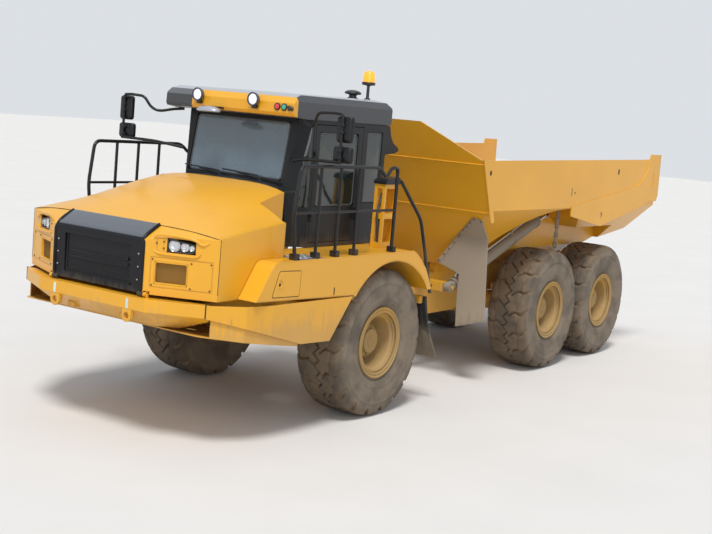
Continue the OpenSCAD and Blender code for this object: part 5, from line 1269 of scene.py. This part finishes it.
# planes of the guard's upright and leaning sheet: origin, across, up and outwards
# strips and bolt lines lie in them; the number beside a line is the step from bolt to bolt
guardLook = {
    "upright": ((0.0138, 0.0, 0.0), sideways, upward, forward),
    "lean": ((-0.0125, 0.0, 1.800), sideways, (0.5599, 0, 0.8286), (0.8286, 0, -0.5599)),
    "uprightStrip": [(0.668, 1.482), (0.716, 1.474), (0.980, 1.832), (0.940, 1.836)],
    "leanStrip": [(0.944, 0.064), (0.986, 0.048), (1.228, 0.308), (1.326, 0.280), (1.334, 0.312),
        (1.222, 0.352)], "uprightBolts": ([(0.700, 1.495), (0.955, 1.822)], 0.105),
    "leanBolts": ([(0.975, 0.074), (1.222, 0.334), (1.318, 0.308)], 0.090)
}


def makeGuardStrips(look):
    # a strip with bolts along the slanted inner edge, on the upright sheet and on the leaning one
    sheets = ("upright", "lean")
    strips = [mapped(flatSheet(look[name + "Strip"], 0.006, 0.0015), *look[name]) for name in sheets]
    placePiece("guard_strips", bothSides(joined(strips)), "guard_grey", "bed", 30.0)
    bolts = [mapped(boltLine(*look[name + "Bolts"], 0.010, 0.012), *look[name]) for name in sheets]
    placePiece("guard_bolts", bothSides(joined(bolts)), "steel_dark", "bed", 30.0)


# pin of the barrel, direction along it and square to it on its upper side; distances run along from the pin
cylinderLook = {
    "pin": (0.060, 0.900, 1.180), "along": (-0.94485, 0, 0.3275), "above": (0.3275, 0, 0.94485),
    "pipe": [(0.170, 0.060), (0.172, 0.088), (0.190, 0.104), (0.230, 0.106), (1.30, 0.106), (2.16, 0.106),
        (2.23, 0.104), (2.262, 0.090), (2.280, 0.060)], "clamps": (0.85, 1.65),
    "collar": [(2.300, 0.070), (2.300, 0.081), (2.304, 0.084), (2.372, 0.084), (2.376, 0.081), (2.376, 0.070),
        (2.300, 0.070)]
}


def makeCylinderPipes(look):
    # a steel pipe along each barrel's upper side, bent into it at both ends and held by two clamps
    pin, along, above = (np.array(look[key]) for key in ("pin", "along", "above"))
    path = [pin + along * s + above * height for s, height in look["pipe"]]
    placePiece("cylinder_pipes", bothSides(roundTube(path, 0.013, 12)), "steel_bright", "hoist_barrels", 50.0)
    block = stackedPlate(roundedOutline(rectangle(0.040, 0.046), 0.006, 2), roundedLevels(0.046, 0.004))
    parts = []
    for s in look["clamps"]:
        band = [(s - 0.020, 0.0745), (s - 0.020, 0.079), (s + 0.020, 0.079),
                (s + 0.020, 0.0745), (s - 0.020, 0.0745)]
        parts.append(turnedShape(band, pin, along, 40))
        parts.append(mapped(block, pin + along * s + above * 0.076, along, sideways, above))
    parts.append(turnedShape(look["collar"], pin, along, 48))
    placePiece("cylinder_clamps", bothSides(joined(parts)), "cylinder_grey", "hoist_barrels", 30.0)


# each pipe: its points, steps of the curve between two of them, radius, sides
cabinetLook = {
    "pipes": (([(2.020, 1.085, 2.420), (2.060, 1.100, 2.400), (2.080, 1.122, 2.340), (2.085, 1.138, 2.270),
        (2.080, 1.120, 2.220), (2.060, 1.095, 2.190), (2.050, 1.090, 2.170)], 5, 0.009, 10),
        ([(2.060, 1.070, 2.250), (2.075, 1.100, 2.262), (2.080, 1.128, 2.290), (2.070, 1.126, 2.340),
        (2.050, 1.110, 2.430)], 5, 0.008, 10)),
    "hoses": (([(2.100, 1.110, 1.850), (2.112, 1.112, 1.960), (2.140, 1.112, 2.090), (2.143, 1.112, 2.190),
        (2.110, 1.110, 2.290), (2.080, 1.105, 2.400)], 5, 0.013, 12),
        ([(2.060, 1.085, 1.850), (2.060, 1.085, 2.119)], 1, 0.012, 12))
}


def makeCabinetPipes(look):
    for name, finish in (("pipes", "steel_bright"), ("hoses", "pane_rubber")):
        placePiece(f"cabinet_{name}", joined([bentTube(*row) for row in look[name]]),
                   finish, "front_unit", 50.0)


# lens: distance along the truck from the lamp's face, and radius there
# each hole: place on the body's side, width, height
tailLook = {
    "lens": [(0.001, 0.0), (0.001, 0.0275), (-0.003, 0.0275), (-0.008, 0.022), (-0.010, 0.012),
        (-0.0105, 0.0)],
    "lenses": (("tail_lenses_outer", 0.585, "lamp_red"), ("tail_lenses_inner", 0.520, "lamp_amber")),
    "lensZ": 1.050, "wallY": 1.4446,
    "holes": ((-3.611, 2.700, 0.050, 0.080), (-2.074, 2.419, 0.016, 0.110), (-2.174, 2.405, 0.030, 0.030),
        (0.270, 2.660, 0.045, 0.060))
}


def makeTailDetails(look):
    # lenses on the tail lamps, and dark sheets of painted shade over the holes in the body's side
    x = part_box("tail_lamps")[0].x
    for name, y, finish in look["lenses"]:
        lens = turnedShape(look["lens"], (x, y, look["lensZ"]), forward, 28)
        placePiece(name, bothSides(lens), finish, "rear_unit", 30.0)
    outlines = [roundedOutline(shifted(rectangle(wide, tall), x, z), min(wide, tall) / 2, 3)
                for x, z, wide, tall in look["holes"]]
    holes = [flatSheet(outline, 0.0012, 0.0003) for outline in outlines]
    plane = ((0, look["wallY"], 0), forward, upward, sideways)
    placePiece("body_holes", bothSides(mapped(joined(holes), *plane)), "painted_gap_shade", "bed", 30.0)


makeFenderPanels(fenderLook)
makeDeckPlates(deckLook)
makeGuardStrips(guardLook)
makeCylinderPipes(cylinderLook)
makeCabinetPipes(cabinetLook)
makeTailDetails(tailLook)
print("fender, guard, cylinder, cabinet and tail details made")
